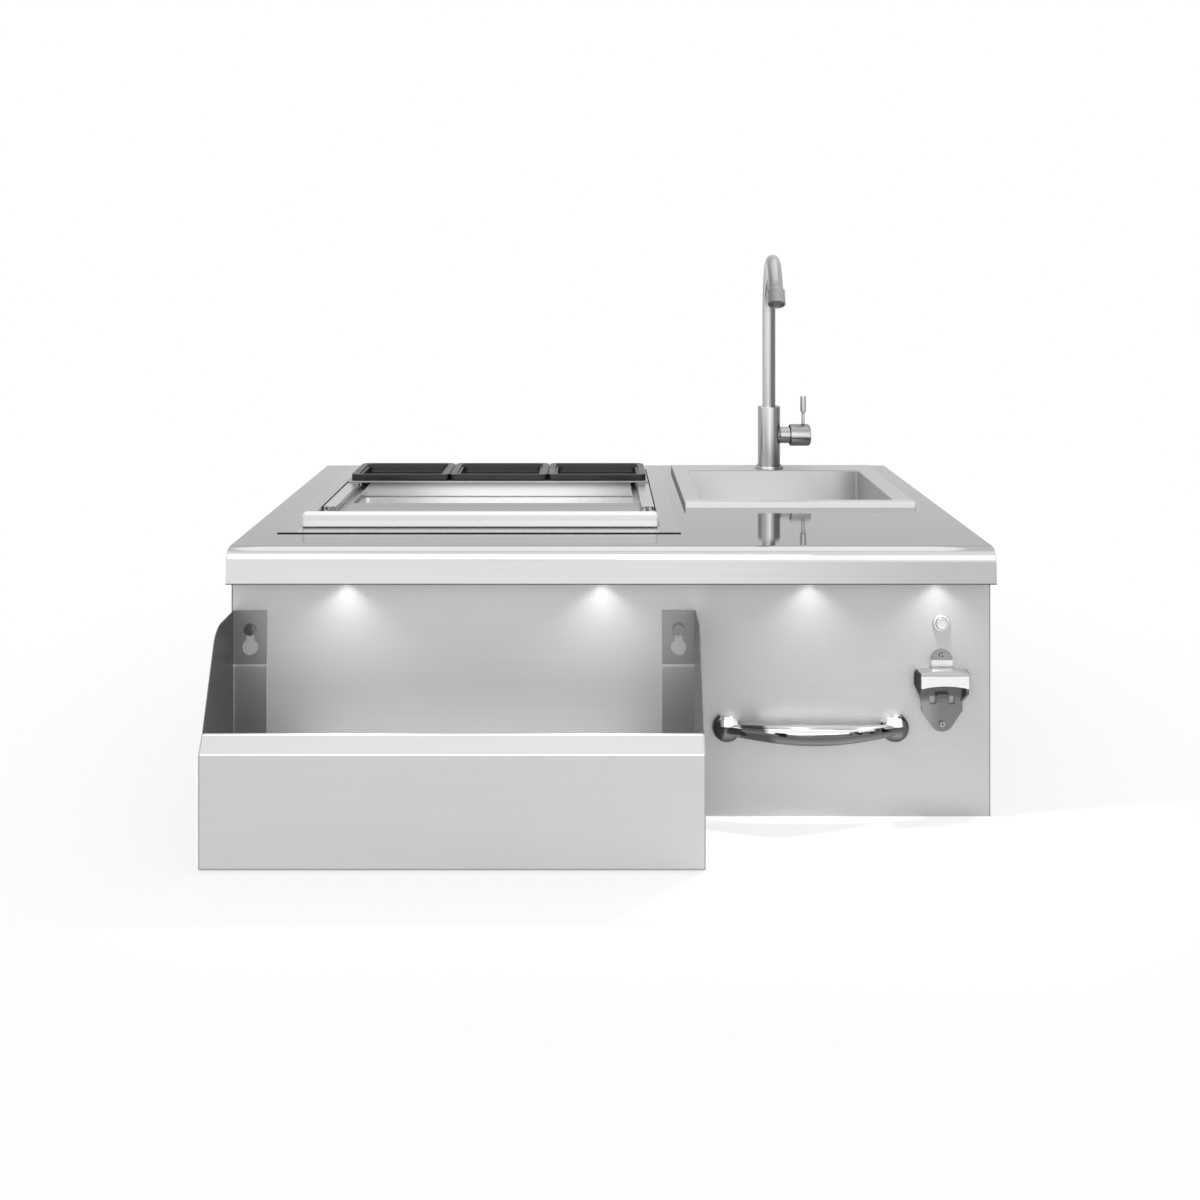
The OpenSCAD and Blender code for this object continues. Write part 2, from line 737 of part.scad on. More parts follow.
// The tailpiece below the drain, with its union nut
tailpiece_l = 105;
union_h = 20;
union_r = 26;
module sink_tailpiece() {
    z1 = cup_floor - tail_l;
    color([0.75, 0.75, 0.75]) translate([sink_x, drain_y, 0]) difference() {
        union() {
            translate([0, 0, z1 - tailpiece_l]) cylinder(h = tailpiece_l, r = tail_r);
            translate([0, 0, z1 - union_h / 2]) cylinder(h = union_h, r = union_r);
        }
        translate([0, 0, z1]) cylinder(h = union_h, r = tail_r + run_fit);
        translate([0, 0, z1 - tailpiece_l - cut])
            cylinder(h = tailpiece_l + 2 * cut, r = tail_r - tail_wall);
    }
}

// The basket that lifts out of the drain: a rim, a slotted cup and a knob
basket_r = 38;
basket_h = 22;
basket_t = 1.2;
basket_rim_w = 9;
basket_holes = 12;
basket_hole_r = 3.5;
knob_r = 6;
knob_stem_r = 2.5;
module strainer_basket() {
    z = basin_floor + strainer_flange_t + gap;
    color([0.75, 0.75, 0.75]) translate([sink_x, drain_y, z]) {
        difference() {
            union() {
                cylinder(h = basket_t, r = basket_r + basket_rim_w);
                translate([0, 0, -basket_h]) cylinder(h = basket_h, r = basket_r);
            }
            translate([0, 0, basket_t - basket_h])
                cylinder(h = basket_h + cut, r = basket_r - basket_t);
            for (i = [0:basket_holes - 1]) rotate([0, 0, i * 360 / basket_holes])
                translate([basket_r * 2 / 3, 0, -basket_h - cut])
                    cylinder(h = basket_t + 2 * cut, r = basket_hole_r);
        }
        translate([0, 0, -basket_h + basket_t / 2])
            cylinder(h = basket_h - basket_t / 2, r = knob_stem_r);
        sphere(r = knob_r);
    }
}

// The tap's base ring in two steps
ring_h = 5.5;
ring_step_share = 0.55;
ring_step_w = 2.2;
module tap_ring() {
    color([0.75, 0.75, 0.75]) translate([tap_x, tap_y, deck_z]) difference() {
        union() {
            cylinder(h = ring_h * ring_step_share, r = ring_r);
            cylinder(h = ring_h, r = ring_r - ring_step_w);
        }
        translate([0, 0, -cut]) cylinder(h = ring_h + 2 * cut, r = shank_r + run_fit);
    }
}

// The tap's body, bored from above for the spout and from the side for the valve
body_z0 = deck_z + ring_h;
body_z1 = unit_h + body_h;
valve_z = unit_h + valve_h;
socket_over = 3.6;
socket_h = body_h - valve_h - neck_r - socket_over;
neck_in = 10;
body_edge = 0.8;
module tap_body() {
    color([0.7, 0.7, 0.7]) difference() {
        translate([tap_x, tap_y, 0]) {
            translate([0, 0, body_z0]) cylinder(h = body_z1 - body_z0 - body_edge, r = body_r);
            translate([0, 0, body_z1 - body_edge])
                cylinder(h = body_edge, r1 = body_r, r2 = body_r - body_edge);
        }
        translate([tap_x, tap_y, body_z1 - socket_h])
            cylinder(h = socket_h + cut, r = spout_r + run_fit);
        rod_x(tap_x + neck_in, tap_y, valve_z, neck_r, body_r);
    }
}

// The hollow threaded shank through the deck and the worktop
shank_l = 46;
shank_bore_r = 12;
module tap_shank() {
    z0 = under_top - shank_l;
    color([0.7, 0.65, 0.5]) translate([tap_x, tap_y, z0]) difference() {
        cylinder(h = body_z0 - z0, r = shank_r);
        translate([0, 0, -cut]) cylinder(h = body_z0 - z0 + 2 * cut, r = shank_bore_r);
    }
}

// The washer and nut that clamp the tap from below
nut_h = 9;
nut_w = 7;
washer_t = 2.5;
module tap_nut() {
    color([0.7, 0.65, 0.5]) translate([tap_x, tap_y, under_top]) difference() {
        union() {
            translate([0, 0, -washer_t]) cylinder(h = washer_t, r = shank_r + nut_w);
            translate([0, 0, -washer_t - nut_h]) cylinder(h = nut_h, r = shank_r + nut_w, $fn = 6);
        }
        translate([0, 0, -washer_t - nut_h - cut])
            cylinder(h = washer_t + nut_h + 2 * cut, r = shank_r + run_fit);
    }
}

// Two copper tails for hot and cold water
tail_tube_r = 5;
tail_off = 6.5;
tail_reach = 210;
tail_tube_wall = 1;
module supply_tails() {
    z0 = under_top - tail_reach;
    color([0.8, 0.5, 0.3]) for (side = [-tail_off, tail_off])
        translate([tap_x + side, tap_y, z0]) difference() {
            cylinder(h = body_z0 - z0, r = tail_tube_r);
            translate([0, 0, -cut])
                cylinder(h = body_z0 - z0 + 2 * cut, r = tail_tube_r - tail_tube_wall);
        }
}

// The side valve's neck, seated in the body's side bore
neck_out = 18;
hub_x0 = tap_x + body_r + neck_out;
module valve_neck() {
    color([0.7, 0.7, 0.7])
        rod_x(tap_x + neck_in, tap_y, valve_z, neck_r, hub_x0 - tap_x - neck_in);
}

// The valve's stem with the ball on which the hub tilts
stem_r = 3;
ball_r = 5;
ball_in = 6.5;
module valve_stem() {
    color([0.6, 0.6, 0.6]) {
        rod_x(hub_x0 + gap, tap_y, valve_z, stem_r, ball_in - gap);
        translate([hub_x0 + ball_in, tap_y, valve_z]) sphere(r = ball_r);
    }
}

// The hub: a cup over the stem, with a socket for the ball and a bore for the lever
hub_wall = 1.5;
hub_cavity = 20;
socket_r = 9;
ball_cover = 2;
lever_in = 9;
lever_neck_r = 3.2;
lever_x = hub_x0 + hub_l * 2 / 3;
hub_edge = 1.2;
module lever_hub() {
    color([0.7, 0.7, 0.7]) difference() {
        union() {
            difference() {
                rod_x(hub_x0, tap_y, valve_z, hub_r, hub_l - hub_edge);
                rod_x(hub_x0 - cut, tap_y, valve_z, hub_r - hub_wall, hub_cavity + cut);
            }
            translate([hub_x0 + hub_l - hub_edge, tap_y, valve_z]) rotate([0, 90, 0])
                cylinder(h = hub_edge, r1 = hub_r, r2 = hub_r - hub_edge);
            rod_x(hub_x0 + ball_in - ball_cover, tap_y, valve_z, socket_r,
                hub_cavity - ball_in + ball_cover + cut);
        }
        translate([hub_x0 + ball_in, tap_y, valve_z]) sphere(r = ball_r + run_fit);
        translate([lever_x, tap_y, valve_z + hub_r - lever_in])
            cylinder(h = lever_in + cut, r = lever_neck_r);
    }
}

// The lever: a slim neck screwed into the hub, and a thicker grip
grip_share = 0.55;
lever_edge = 0.6;
module lever_rod() {
    z0 = valve_z + hub_r - lever_in;
    z1 = unit_h + lever_top;
    grip_l = (z1 - valve_z - hub_r) * grip_share;
    color([0.75, 0.75, 0.75]) translate([lever_x, tap_y, 0]) {
        translate([0, 0, z0]) cylinder(h = z1 - grip_l - z0, r = lever_neck_r);
        translate([0, 0, z1 - grip_l]) cylinder(h = grip_l - lever_edge, r = lever_r);
        translate([0, 0, z1 - lever_edge])
            cylinder(h = lever_edge, r1 = lever_r, r2 = lever_r - lever_edge);
    }
}

// The spout's own frame: the bend's middle at the origin, the tube's start on +X
module spout_frame() {
    translate([tap_x, tap_y, 0]) rotate([0, 0, -spout_turn])
        translate([0, -bend_r, bend_z]) rotate([90, 0, 90]) children();
}

// The spout's straight tube, seated in the body's socket
bend_z = unit_h + spout_h - spout_r - bend_r;
spout_wall = 1.2;
module spout_tube() {
    z0 = body_z1 - socket_h + gap;
    color([0.75, 0.75, 0.75]) translate([tap_x, tap_y, z0]) difference() {
        cylinder(h = bend_z - z0, r = spout_r);
        translate([0, 0, -cut]) cylinder(h = bend_z - z0 + 2 * cut, r = spout_r - spout_wall);
    }
}

// The spout's bend, from the straight tube to the aerator
over_turn = 1;
module spout_bend() {
    color([0.75, 0.75, 0.75]) spout_frame() difference() {
        rotate_extrude(angle = bend_angle) translate([bend_r, 0]) circle(spout_r);
        rotate([0, 0, -over_turn]) rotate_extrude(angle = bend_angle + 2 * over_turn)
            translate([bend_r, 0]) circle(spout_r - spout_wall);
    }
}

// The aerator: a sleeve on the spout's end with a drilled plate in its mouth
aerator_r = 15;
aerator_l = 27;
mouth_r = 12.5;
mouth_in = 3;
plate_t = 3;
jet_r = 1.6;
jet_ring_share = 0.6;
jets = 8;
module aerator() {
    color([0.72, 0.72, 0.72]) spout_frame() rotate([0, 0, bend_angle])
        translate([bend_r, 0, 0]) rotate([-90, 0, 0]) difference() {
            cylinder(h = aerator_l, r = aerator_r);
            translate([0, 0, -cut])
                cylinder(h = aerator_l - mouth_in - plate_t + cut, r = spout_r - spout_wall);
            translate([0, 0, aerator_l - mouth_in]) cylinder(h = mouth_in + cut, r = mouth_r);
            for (i = [1:jets]) rotate([0, 0, i * 360 / jets])
                translate([mouth_r * jet_ring_share, 0, cut]) cylinder(h = aerator_l, r = jet_r);
        }
}

// The bottle rail's trough: a front with a sloped lip, a floor and a low back
rail_back_h = 100;
lip_hem = 4;
module rail_trough() {
    t = rail_t;
    d = rail_d - gap - t;
    h = rail_front_h;
    color([0.78, 0.78, 0.78]) along_x(rail_x - rail_w / 2, rail_w)
        translate([rail_front_y, rail_z0]) polygon([
            [0, 0],
            [0, h],
            [lip_back, h + lip_h],
            [lip_back + lip_hem, h + lip_h],
            [lip_back + lip_hem, h + lip_h - t],
            [lip_back + t, h + lip_h - t],
            [t, h],
            [t, t],
            [d - t, t],
            [d - t, rail_back_h],
            [d, rail_back_h],
            [d, 0]
        ]);
}

// A bracket's side plate in Y and Z: a rounded shoulder and a slope down to the lip
shoulder_r = 34;
shoulder_angle = 24;
module bracket_profile() {
    t = rail_t;
    top_z = rail_z0 + bracket_h;
    tip = [rail_front_y + t + lip_back, rail_z0 + rail_front_h + lip_h];
    cz = top_z - shoulder_r;
    cy = tip[0] + (shoulder_r - (tip[1] - cz) * sin(shoulder_angle)) / cos(shoulder_angle);
    touch = [cy - shoulder_r * cos(shoulder_angle), cz + shoulder_r * sin(shoulder_angle)];
    translate([cy, cz]) circle(shoulder_r);
    translate([cy, cz]) square([panel_y - gap - cy, shoulder_r]);
    polygon([
        [panel_y - gap, rail_z0 + t],
        [rail_front_y + t, rail_z0 + t],
        [rail_front_y + t, rail_z0 + rail_front_h],
        [tip[0], tip[1] - t],
        tip,
        touch,
        [cy, cz],
        [panel_y - gap, cz]
    ]);
}

// A bracket: the side plate and its flange with a keyhole; the profile clears the trough
stud_places = [rail_x - rail_w / 2 + keyhole_in, rail_x + rail_w / 2 - keyhole_in];
module rail_bracket() {
    t = rail_t;
    x0 = rail_x + rail_w / 2;
    y1 = panel_y - gap;
    color([0.4, 0.4, 0.4]) {
        along_x(x0 - t, t) difference() {
            bracket_profile();
            translate([y1 - 2 * t, rail_z0]) square([t, rail_back_h]);
            translate([rail_front_y + lip_back, rail_z0 + rail_front_h + lip_h - t])
                square([lip_hem, t + cut]);
        }
        upright(y1 - t, t) difference() {
            translate([x0 - bracket_flange, rail_z0 + t])
                square([bracket_flange - t, bracket_h - t]);
            translate([x0 - keyhole_in, stud_height]) circle(keyhole_slot / 2);
            translate([x0 - keyhole_in - keyhole_slot / 2, stud_height - keyhole_l])
                square([keyhole_slot, keyhole_l]);
            translate([x0 - keyhole_in, stud_height - keyhole_l]) circle(keyhole_d / 2);
        }
    }
}

module rail_bracket_left() {
    translate([2 * rail_x, 0, 0]) mirror([1, 0, 0]) rail_bracket();
}

module rail_bracket_right() {
    rail_bracket();
}

// Two shouldered studs through the panel, each with a head in front and a nut behind
stud_head_t = 4;
stud_thread_l = 12;
stud_nut_r = 7.5;
stud_nut_h = 5;
module rail_studs() {
    shoulder = rail_t + 2 * gap;
    color([0.8, 0.8, 0.8]) for (x = stud_places) {
        rod_y(x, panel_y - shoulder - stud_head_t, stud_height, stud_head_r, stud_head_t);
        rod_y(x, panel_y - shoulder - cut, stud_height, stud_r, shoulder + cut);
        rod_y(x, panel_y - cut, stud_height, stud_thread_r, stud_thread_l + cut);
        translate([x, panel_y + sheet_t + stud_nut_h, stud_height]) rotate([90, 0, 0])
            cylinder(h = stud_nut_h, r = stud_nut_r, $fn = 6);
    }
}

// The handle's domed rosettes
rosette_places = [handle_x0, handle_x1];
rosette_edge = 3;
dome_h = rosette_l - rosette_edge;
dome_r = (rosette_r * rosette_r + dome_h * dome_h) / (2 * dome_h);
module rosette(x, grow) {
    z = unit_h - handle_z;
    rod_y(x, panel_y - rosette_edge, z, rosette_r, rosette_edge);
    intersection() {
        translate([x, panel_y - rosette_l + dome_r, z]) sphere(r = dome_r + grow);
        rod_y(x, panel_y - rosette_l - grow, z, rosette_r, rosette_l + grow);
    }
}

module handle_rosettes() {
    color([0.85, 0.85, 0.88]) for (x = rosette_places) rosette(x, 0);
}

// The bow of the handle: a round bar swept along a shallow arch, thickest at its middle
bow_steps = 36;
bow_sides = 24;
bow_end_share = 0.3;
bow_swell = 1.5;
function bow_u(i) = 2 * i / bow_steps - 1;
function bow_y(u) = panel_y - bar_out * (bow_end_share + (1 - bow_end_share) * (1 - u * u));
function bow_r(u) = bar_end_r + (bar_mid_r - bar_end_r) * pow(cos(90 * u), bow_swell);
function bow_ring(i) = [for (j = [0:bow_sides - 1])
    let (u = bow_u(i), a = j * 360 / bow_sides,
        lean = atan(4 * bar_out * (1 - bow_end_share) * u / handle_l), r = bow_r(u))
    [handle_x + u * handle_l / 2 - r * cos(a) * sin(lean),
        bow_y(u) + r * cos(a) * cos(lean),
        unit_h - handle_z + r * sin(a)]];
module handle_bar() {
    points = [for (i = [0:bow_steps]) each bow_ring(i)];
    n = bow_sides;
    skin = [for (i = [0:bow_steps - 1], j = [0:n - 1])
        let (k = (j + 1) % n, a = i * n + j, b = i * n + k)
        each [[a, b, b + n], [a, b + n, a + n]]];
    ends = [[for (j = [n - 1:-1:0]) j], [for (j = [0:n - 1]) bow_steps * n + j]];
    color([0.85, 0.85, 0.88]) difference() {
        polyhedron(points, concat(skin, ends));
        for (x = rosette_places) rosette(x, run_fit);
    }
}

// Threaded rods from the rosettes through the panel, with their nuts
handle_thread_l = 14;
handle_nut_r = 6.5;
handle_nut_h = 5;
module handle_nuts() {
    color([0.6, 0.6, 0.6]) for (x = rosette_places) {
        rod_y(x, panel_y, unit_h - handle_z, handle_thread_r, handle_thread_l);
        translate([x, panel_y + sheet_t + handle_nut_h, unit_h - handle_z]) rotate([90, 0, 0])
            cylinder(h = handle_nut_h, r = handle_nut_r, $fn = 6);
    }
}

// The opener's heights, and its hood's shoulders and cheeks in X and Z, drawn in by t
opener_top = unit_h - opener_z;
opener_low = opener_top - opener_h;
shoulder_z = opener_top - opener_h * 0.25;
band_top = opener_top - opener_h * 0.28;
band_low = opener_top - opener_h * 0.43;
cheek_low = opener_top - opener_h * 0.64;
shoulder_rise = 3.5;
hood_corner_r = 7;
module hood_outline(t) {
    w = hood_w / 2 - t;
    r = hood_corner_r - t;
    z = shoulder_z - hood_corner_r;
    for (s = [-1, 1]) translate([s * (w - r), z]) circle(r);
    polygon([
        [-w, band_low],
        [-w, z],
        [r - w, z + r],
        [-ear_w / 2, shoulder_z + shoulder_rise - t],
        [ear_w / 2, shoulder_z + shoulder_rise - t],
        [w - r, z + r],
        [w, z],
        [w, band_low],
        [plate_w / 2 - t, cheek_low],
        [t - plate_w / 2, cheek_low]
    ]);
}

// The hood's side in Y and Z, drawn in by t: a slope out to the band, the band and the cheek
module hood_side(t) {
    y0 = panel_y - hood_out + t;
    y1 = panel_y - opener_t;
    z1 = opener_top - ear_w / 2 - t * 3 / 2;
    open = t > 0 ? hood_out : 0;
    polygon([
        [panel_y, z1],
        [y1, z1],
        [y1 - hood_out * 0.12, z1 - opener_h * 0.035],
        [y1 - hood_out * 0.36, z1 - opener_h * 0.07],
        [y1 - hood_out * 0.66, z1 - opener_h * 0.105],
        [y0 + hood_out * 0.02, band_top + opener_h * 0.015 - t],
        [y0, band_top - opener_h * 0.01 - t / 2],
        [y0, band_low - open],
        [y1, cheek_low - open],
        [panel_y, cheek_low - open]
    ]);
}

// The hood seen from above, drawn in by t: cheeks that close in towards the band
module hood_plan(t) {
    polygon([
        [t - hood_w / 2, panel_y],
        [t - band_w / 2, panel_y - hood_out],
        [band_w / 2 - t, panel_y - hood_out],
        [hood_w / 2 - t, panel_y]
    ]);
}

module hood_block(t, d) {
    intersection() {
        upright(panel_y - hood_out, d) hood_outline(t);
        along_x(-hood_w, 2 * hood_w) hood_side(t);
        linear_extrude(unit_h) hood_plan(t);
    }
}

// The arch in the band's lower edge that clears a bottle's neck
arch_r = 145;
arch_h = 3.7;
module band_arch() {
    intersection() {
        translate([0, band_low + arch_h - arch_r]) circle(arch_r, $fn = 256);
        translate([hood_t - band_w / 2, cheek_low]) square([band_w - 2 * hood_t, opener_h / 2]);
    }
}

// The bottle opener: a plate with an ear, a hood with closed cheeks, a tooth and two windows
screw_in = 8.5;
screw_places = [opener_top - screw_in, opener_top - screw_in - screw_gap];
plate_end_r = 17;
tooth_w = 17;
tooth_h = 13;
tooth_out = 10;
window_w = 9;
window_h = 12;
module bottle_opener() {
    y1 = panel_y - opener_t;
    color([0.55, 0.55, 0.55]) translate([opener_x, 0, 0]) difference() {
        union() {
            upright(y1, opener_t) {
                translate([0, opener_top - ear_w / 2]) circle(ear_w / 2);
                translate([-ear_w / 2, shoulder_z]) square([ear_w, opener_top - ear_w / 2 - shoulder_z]);
                hood_outline(0);
                hull() {
                    translate([0, opener_low + plate_end_r]) circle(plate_end_r, $fn = 32);
                    translate([-plate_w / 2, cheek_low - window_h]) square([plate_w, window_h]);
                }
            }
            difference() {
                hood_block(0, hood_out);
                hood_block(hood_t, hood_out - opener_t);
                upright(panel_y - hood_out - cut, cut + 2 * hood_t) band_arch();
            }
            along_x(-tooth_w / 2, tooth_w) translate([y1, cheek_low]) polygon([
                [opener_t / 2, 0],
                [0, 0],
                [opener_t - tooth_out, tooth_h / 4],
                [opener_t - tooth_out, tooth_h],
                [opener_t / 2, tooth_h]
            ]);
        }
        for (s = [-1, 1]) upright(y1 - cut, opener_t + 2 * cut)
            translate([s * (tooth_w + window_w) / 2 - window_w / 2, cheek_low - window_h / 4])
                square([window_w, window_h]);
        for (z = screw_places) rod_y(0, panel_y - hood_out, z, screw_r, hood_out + cut);
    }
}

// The opener's two pan-headed screws
screw_head_r = 4;
screw_head_t = 2.4;
screw_l = 14;
module opener_screws() {
    color([0.7, 0.7, 0.7]) for (z = screw_places) {
        rod_y(opener_x, panel_y - opener_t - screw_head_t, z, screw_head_r, screw_head_t);
        rod_y(opener_x, panel_y - opener_t - cut, z, screw_r, screw_l + cut);
    }
}

// The push button: a bezel on the panel and a blind barrel behind it
bezel_t = 2.2;
barrel_l = 24;
cap_proud = 1.4;
cap_l = 12;
module button_bezel() {
    z = unit_h - button_z;
    color([0.8, 0.8, 0.8]) difference() {
        union() {
            rod_y(opener_x, panel_y - bezel_t, z, bezel_d / 2, bezel_t);
            rod_y(opener_x, panel_y - cut, z, barrel_d / 2, barrel_l + cut);
        }
        rod_y(opener_x, panel_y - bezel_t - cut, z, cap_d / 2 + run_fit,
            bezel_t + cut + cap_l + button_travel);
    }
}

module button_cap() {
    color([0.9, 0.9, 0.9]) rod_y(opener_x, panel_y - bezel_t - cap_proud, unit_h - button_z,
        cap_d / 2, cap_l);
}

// The ring nut that holds the button from behind
button_nut_h = 4;
button_nut_w = 3;
module button_nut() {
    color([0.5, 0.5, 0.5]) difference() {
        rod_y(opener_x, panel_y + sheet_t, unit_h - button_z, barrel_d / 2 + button_nut_w,
            button_nut_h);
        rod_y(opener_x, panel_y + sheet_t - cut, unit_h - button_z, barrel_d / 2 + run_fit,
            button_nut_h + 2 * cut);
    }
}

// Lamp housings: a thin flange under the apron's return and a cup above it
lamp_wall = 1;
lens_t = 2.5;
module lamp_housings() {
    color([0.8, 0.8, 0.8]) for (x = lamp_places) translate([x, lamp_y, top_joint]) difference() {
        union() {
            translate([0, 0, -lamp_flange_t]) cylinder(h = lamp_flange_t, r = lamp_flange_r);
            cylinder(h = lamp_body_h, r = lens_r);
        }
        translate([0, 0, -lamp_flange_t - cut])
            cylinder(h = lamp_flange_t + cut + lamp_body_h - lamp_wall, r = lens_r - lamp_wall);
    }
}

module lamp_lenses() {
    color([1, 1, 1]) for (x = lamp_places) translate([x, lamp_y, top_joint - lamp_flange_t])
        cylinder(h = lens_t, r = lens_r - lamp_wall);
}

// The lamps' driver on the inside of the back panel
driver_w = 110;
driver_d = 28;
driver_h = 42;
module lamp_driver() {
    color([0.2, 0.2, 0.2])
        translate([grommet_x - grommet_r * 2 - driver_w, carcass_back - sheet_t - driver_d,
            grommet_z - driver_h / 2]) cube([driver_w, driver_d, driver_h]);
}

// The rubber grommet through which the lamp cable leaves
grommet_lip = 2.5;
grommet_lip_t = 1.4;
grommet_bore_r = 4;
module cable_grommet() {
    y0 = carcass_back - sheet_t;
    color([0.1, 0.1, 0.1]) difference() {
        union() {
            rod_y(grommet_x, y0 - grommet_lip_t, grommet_z, grommet_r + grommet_lip, grommet_lip_t);
            rod_y(grommet_x, y0 - cut, grommet_z, grommet_r, sheet_t + 2 * cut);
            rod_y(grommet_x, y0 + sheet_t, grommet_z, grommet_r + grommet_lip, grommet_lip_t);
        }
        rod_y(grommet_x, y0 - grommet_lip_t - cut, grommet_z, grommet_bore_r,
            sheet_t + 2 * grommet_lip_t + 2 * cut);
    }
}

worktop();
front_panel();
left_side();
right_side();
back_panel();
bottom_pan();
ice_bin();
bin_foam();
bin_drain();
bin_drain_nut();
runners();
runner_rivets();
lid_sheet();
lid_bar();
tray_carrier();
tray_left();
tray_centre();
tray_right();
sink_bowl();
sink_clips();
strainer_body();
strainer_nut();
sink_tailpiece();
strainer_basket();
tap_ring();
tap_body();
tap_shank();
tap_nut();
supply_tails();
valve_neck();
valve_stem();
lever_hub();
lever_rod();
spout_tube();
spout_bend();
aerator();
rail_trough();
rail_bracket_left();
rail_bracket_right();
rail_studs();
handle_bar();
handle_rosettes();
handle_nuts();
bottle_opener();
opener_screws();
button_bezel();
button_cap();
button_nut();
lamp_housings();
lamp_lenses();
lamp_driver();
cable_grommet();
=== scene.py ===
import math

import bmesh
import bpy
import numpy as np
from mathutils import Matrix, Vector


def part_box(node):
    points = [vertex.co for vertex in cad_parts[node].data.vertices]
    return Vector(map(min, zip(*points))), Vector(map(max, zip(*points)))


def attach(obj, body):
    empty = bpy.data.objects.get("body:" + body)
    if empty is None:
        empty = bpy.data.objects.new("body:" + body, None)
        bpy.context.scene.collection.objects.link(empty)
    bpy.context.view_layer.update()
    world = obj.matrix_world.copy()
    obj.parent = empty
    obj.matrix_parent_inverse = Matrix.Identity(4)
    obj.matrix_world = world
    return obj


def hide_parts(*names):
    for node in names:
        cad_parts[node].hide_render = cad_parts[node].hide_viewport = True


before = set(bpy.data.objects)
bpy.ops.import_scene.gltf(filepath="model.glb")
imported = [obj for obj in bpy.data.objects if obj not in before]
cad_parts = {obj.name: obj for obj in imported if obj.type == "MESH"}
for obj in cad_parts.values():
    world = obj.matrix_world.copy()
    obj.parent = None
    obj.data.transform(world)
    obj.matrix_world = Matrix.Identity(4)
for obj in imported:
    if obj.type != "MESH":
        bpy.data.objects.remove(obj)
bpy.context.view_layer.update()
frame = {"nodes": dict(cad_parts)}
nodes = frame["nodes"]

# ---- Viewpoint ----
# The photograph was taken with a level camera a little above the worktop, its frame shifted
# down, so uprights stay upright. Sizes are in metres in the part's own frame.
viewpoint = bpy.data.cameras.new("viewpoint")
viewpoint.lens, viewpoint.sensor_width = 34.491, 36
viewpoint.shift_x, viewpoint.shift_y = 0.0075, -0.293
viewpoint.clip_start, viewpoint.clip_end = 0.05, 60
viewer = bpy.data.objects.new("viewer", viewpoint)
viewer.location, viewer.rotation_euler = (-0.028, -1.895, 0.7962), (math.pi / 2, 0, 0)
bpy.context.scene.collection.objects.link(viewer)
bpy.context.scene.camera = viewer


# ---- Worktop and cabinet ----
# The worktop and the cabinet are folded from stainless sheet, brushed along the width with a
# fine belt. The worktop is polished further than the panels and mirrors the tap.
class Wire:
    """A shader socket. An expression on it adds Math nodes; a * b, a + b, 1 - a and so on."""

    def __init__(self, nodes, socket):
        self.nodes, self.socket = nodes, socket

    def maths(self, kind, first, second=0.0):
        return self.nodes.add("ShaderNodeMath", {"operation": kind}, {0: first, 1: second})

    def __add__(self, other):
        return self.maths("ADD", self, other)

    def __sub__(self, other):
        return self.maths("SUBTRACT", self, other)

    def __rsub__(self, other):
        return self.maths("SUBTRACT", other, self)

    def __mul__(self, other):
        return self.maths("MULTIPLY", self, other)

    def __abs__(self):
        return self.maths("ABSOLUTE", self)

    def larger(self, other):
        return self.maths("MAXIMUM", self, other)

    __radd__, __rmul__ = __add__, __mul__


class Nodes:
    """A node tree. add() takes a node's type, its settings and its inputs."""

    def __init__(self, tree):
        self.tree = tree

    def join(self, socket, value):
        if isinstance(value, Wire):
            self.tree.links.new(value.socket, socket)
        else:
            socket.default_value = value

    def add(self, kind, settings, inputs, output=0):
        node = self.tree.nodes.new(kind)
        for name, value in settings.items():
            if name == "stops":
                ramp = node.color_ramp
                while len(ramp.elements) < len(value):
                    ramp.elements.new(0.5)
                for stop, (place, level) in zip(ramp.elements, value):
                    stop.position, stop.color = place, (level, level, level, 1)
            else:
                setattr(node, name, value)
        for name, value in inputs.items():
            self.join(node.inputs[name], value)
        return Wire(self, node.outputs[output])

    def vector(self, operation, first, second=(0, 0, 0)):
        """Vector Math on one or two vectors. A length and a dot product are values."""
        output = "Value" if operation in ("LENGTH", "DOT_PRODUCT") else "Vector"
        return self.add("ShaderNodeVectorMath", {"operation": operation},
                        {0: first, 1: second}, output)

    def past(self, value, start, end, step="LINEAR"):
        """0 where a value is before the start, 1 where it is past the end, a slope between them"""
        return self.add("ShaderNodeMapRange", {"interpolation_type": step},
                        {"Value": value, "From Min": start, "From Max": end})

    def seen(self):
        """1 for what the camera sees, itself or in metal or glass, and 0 for light on its way"""
        camera, mirror, glass = (self.add("ShaderNodeLightPath", {}, {}, f"Is {kind} Ray")
                                 for kind in ("Camera", "Glossy", "Transmission"))
        return camera.larger(mirror).larger(glass)


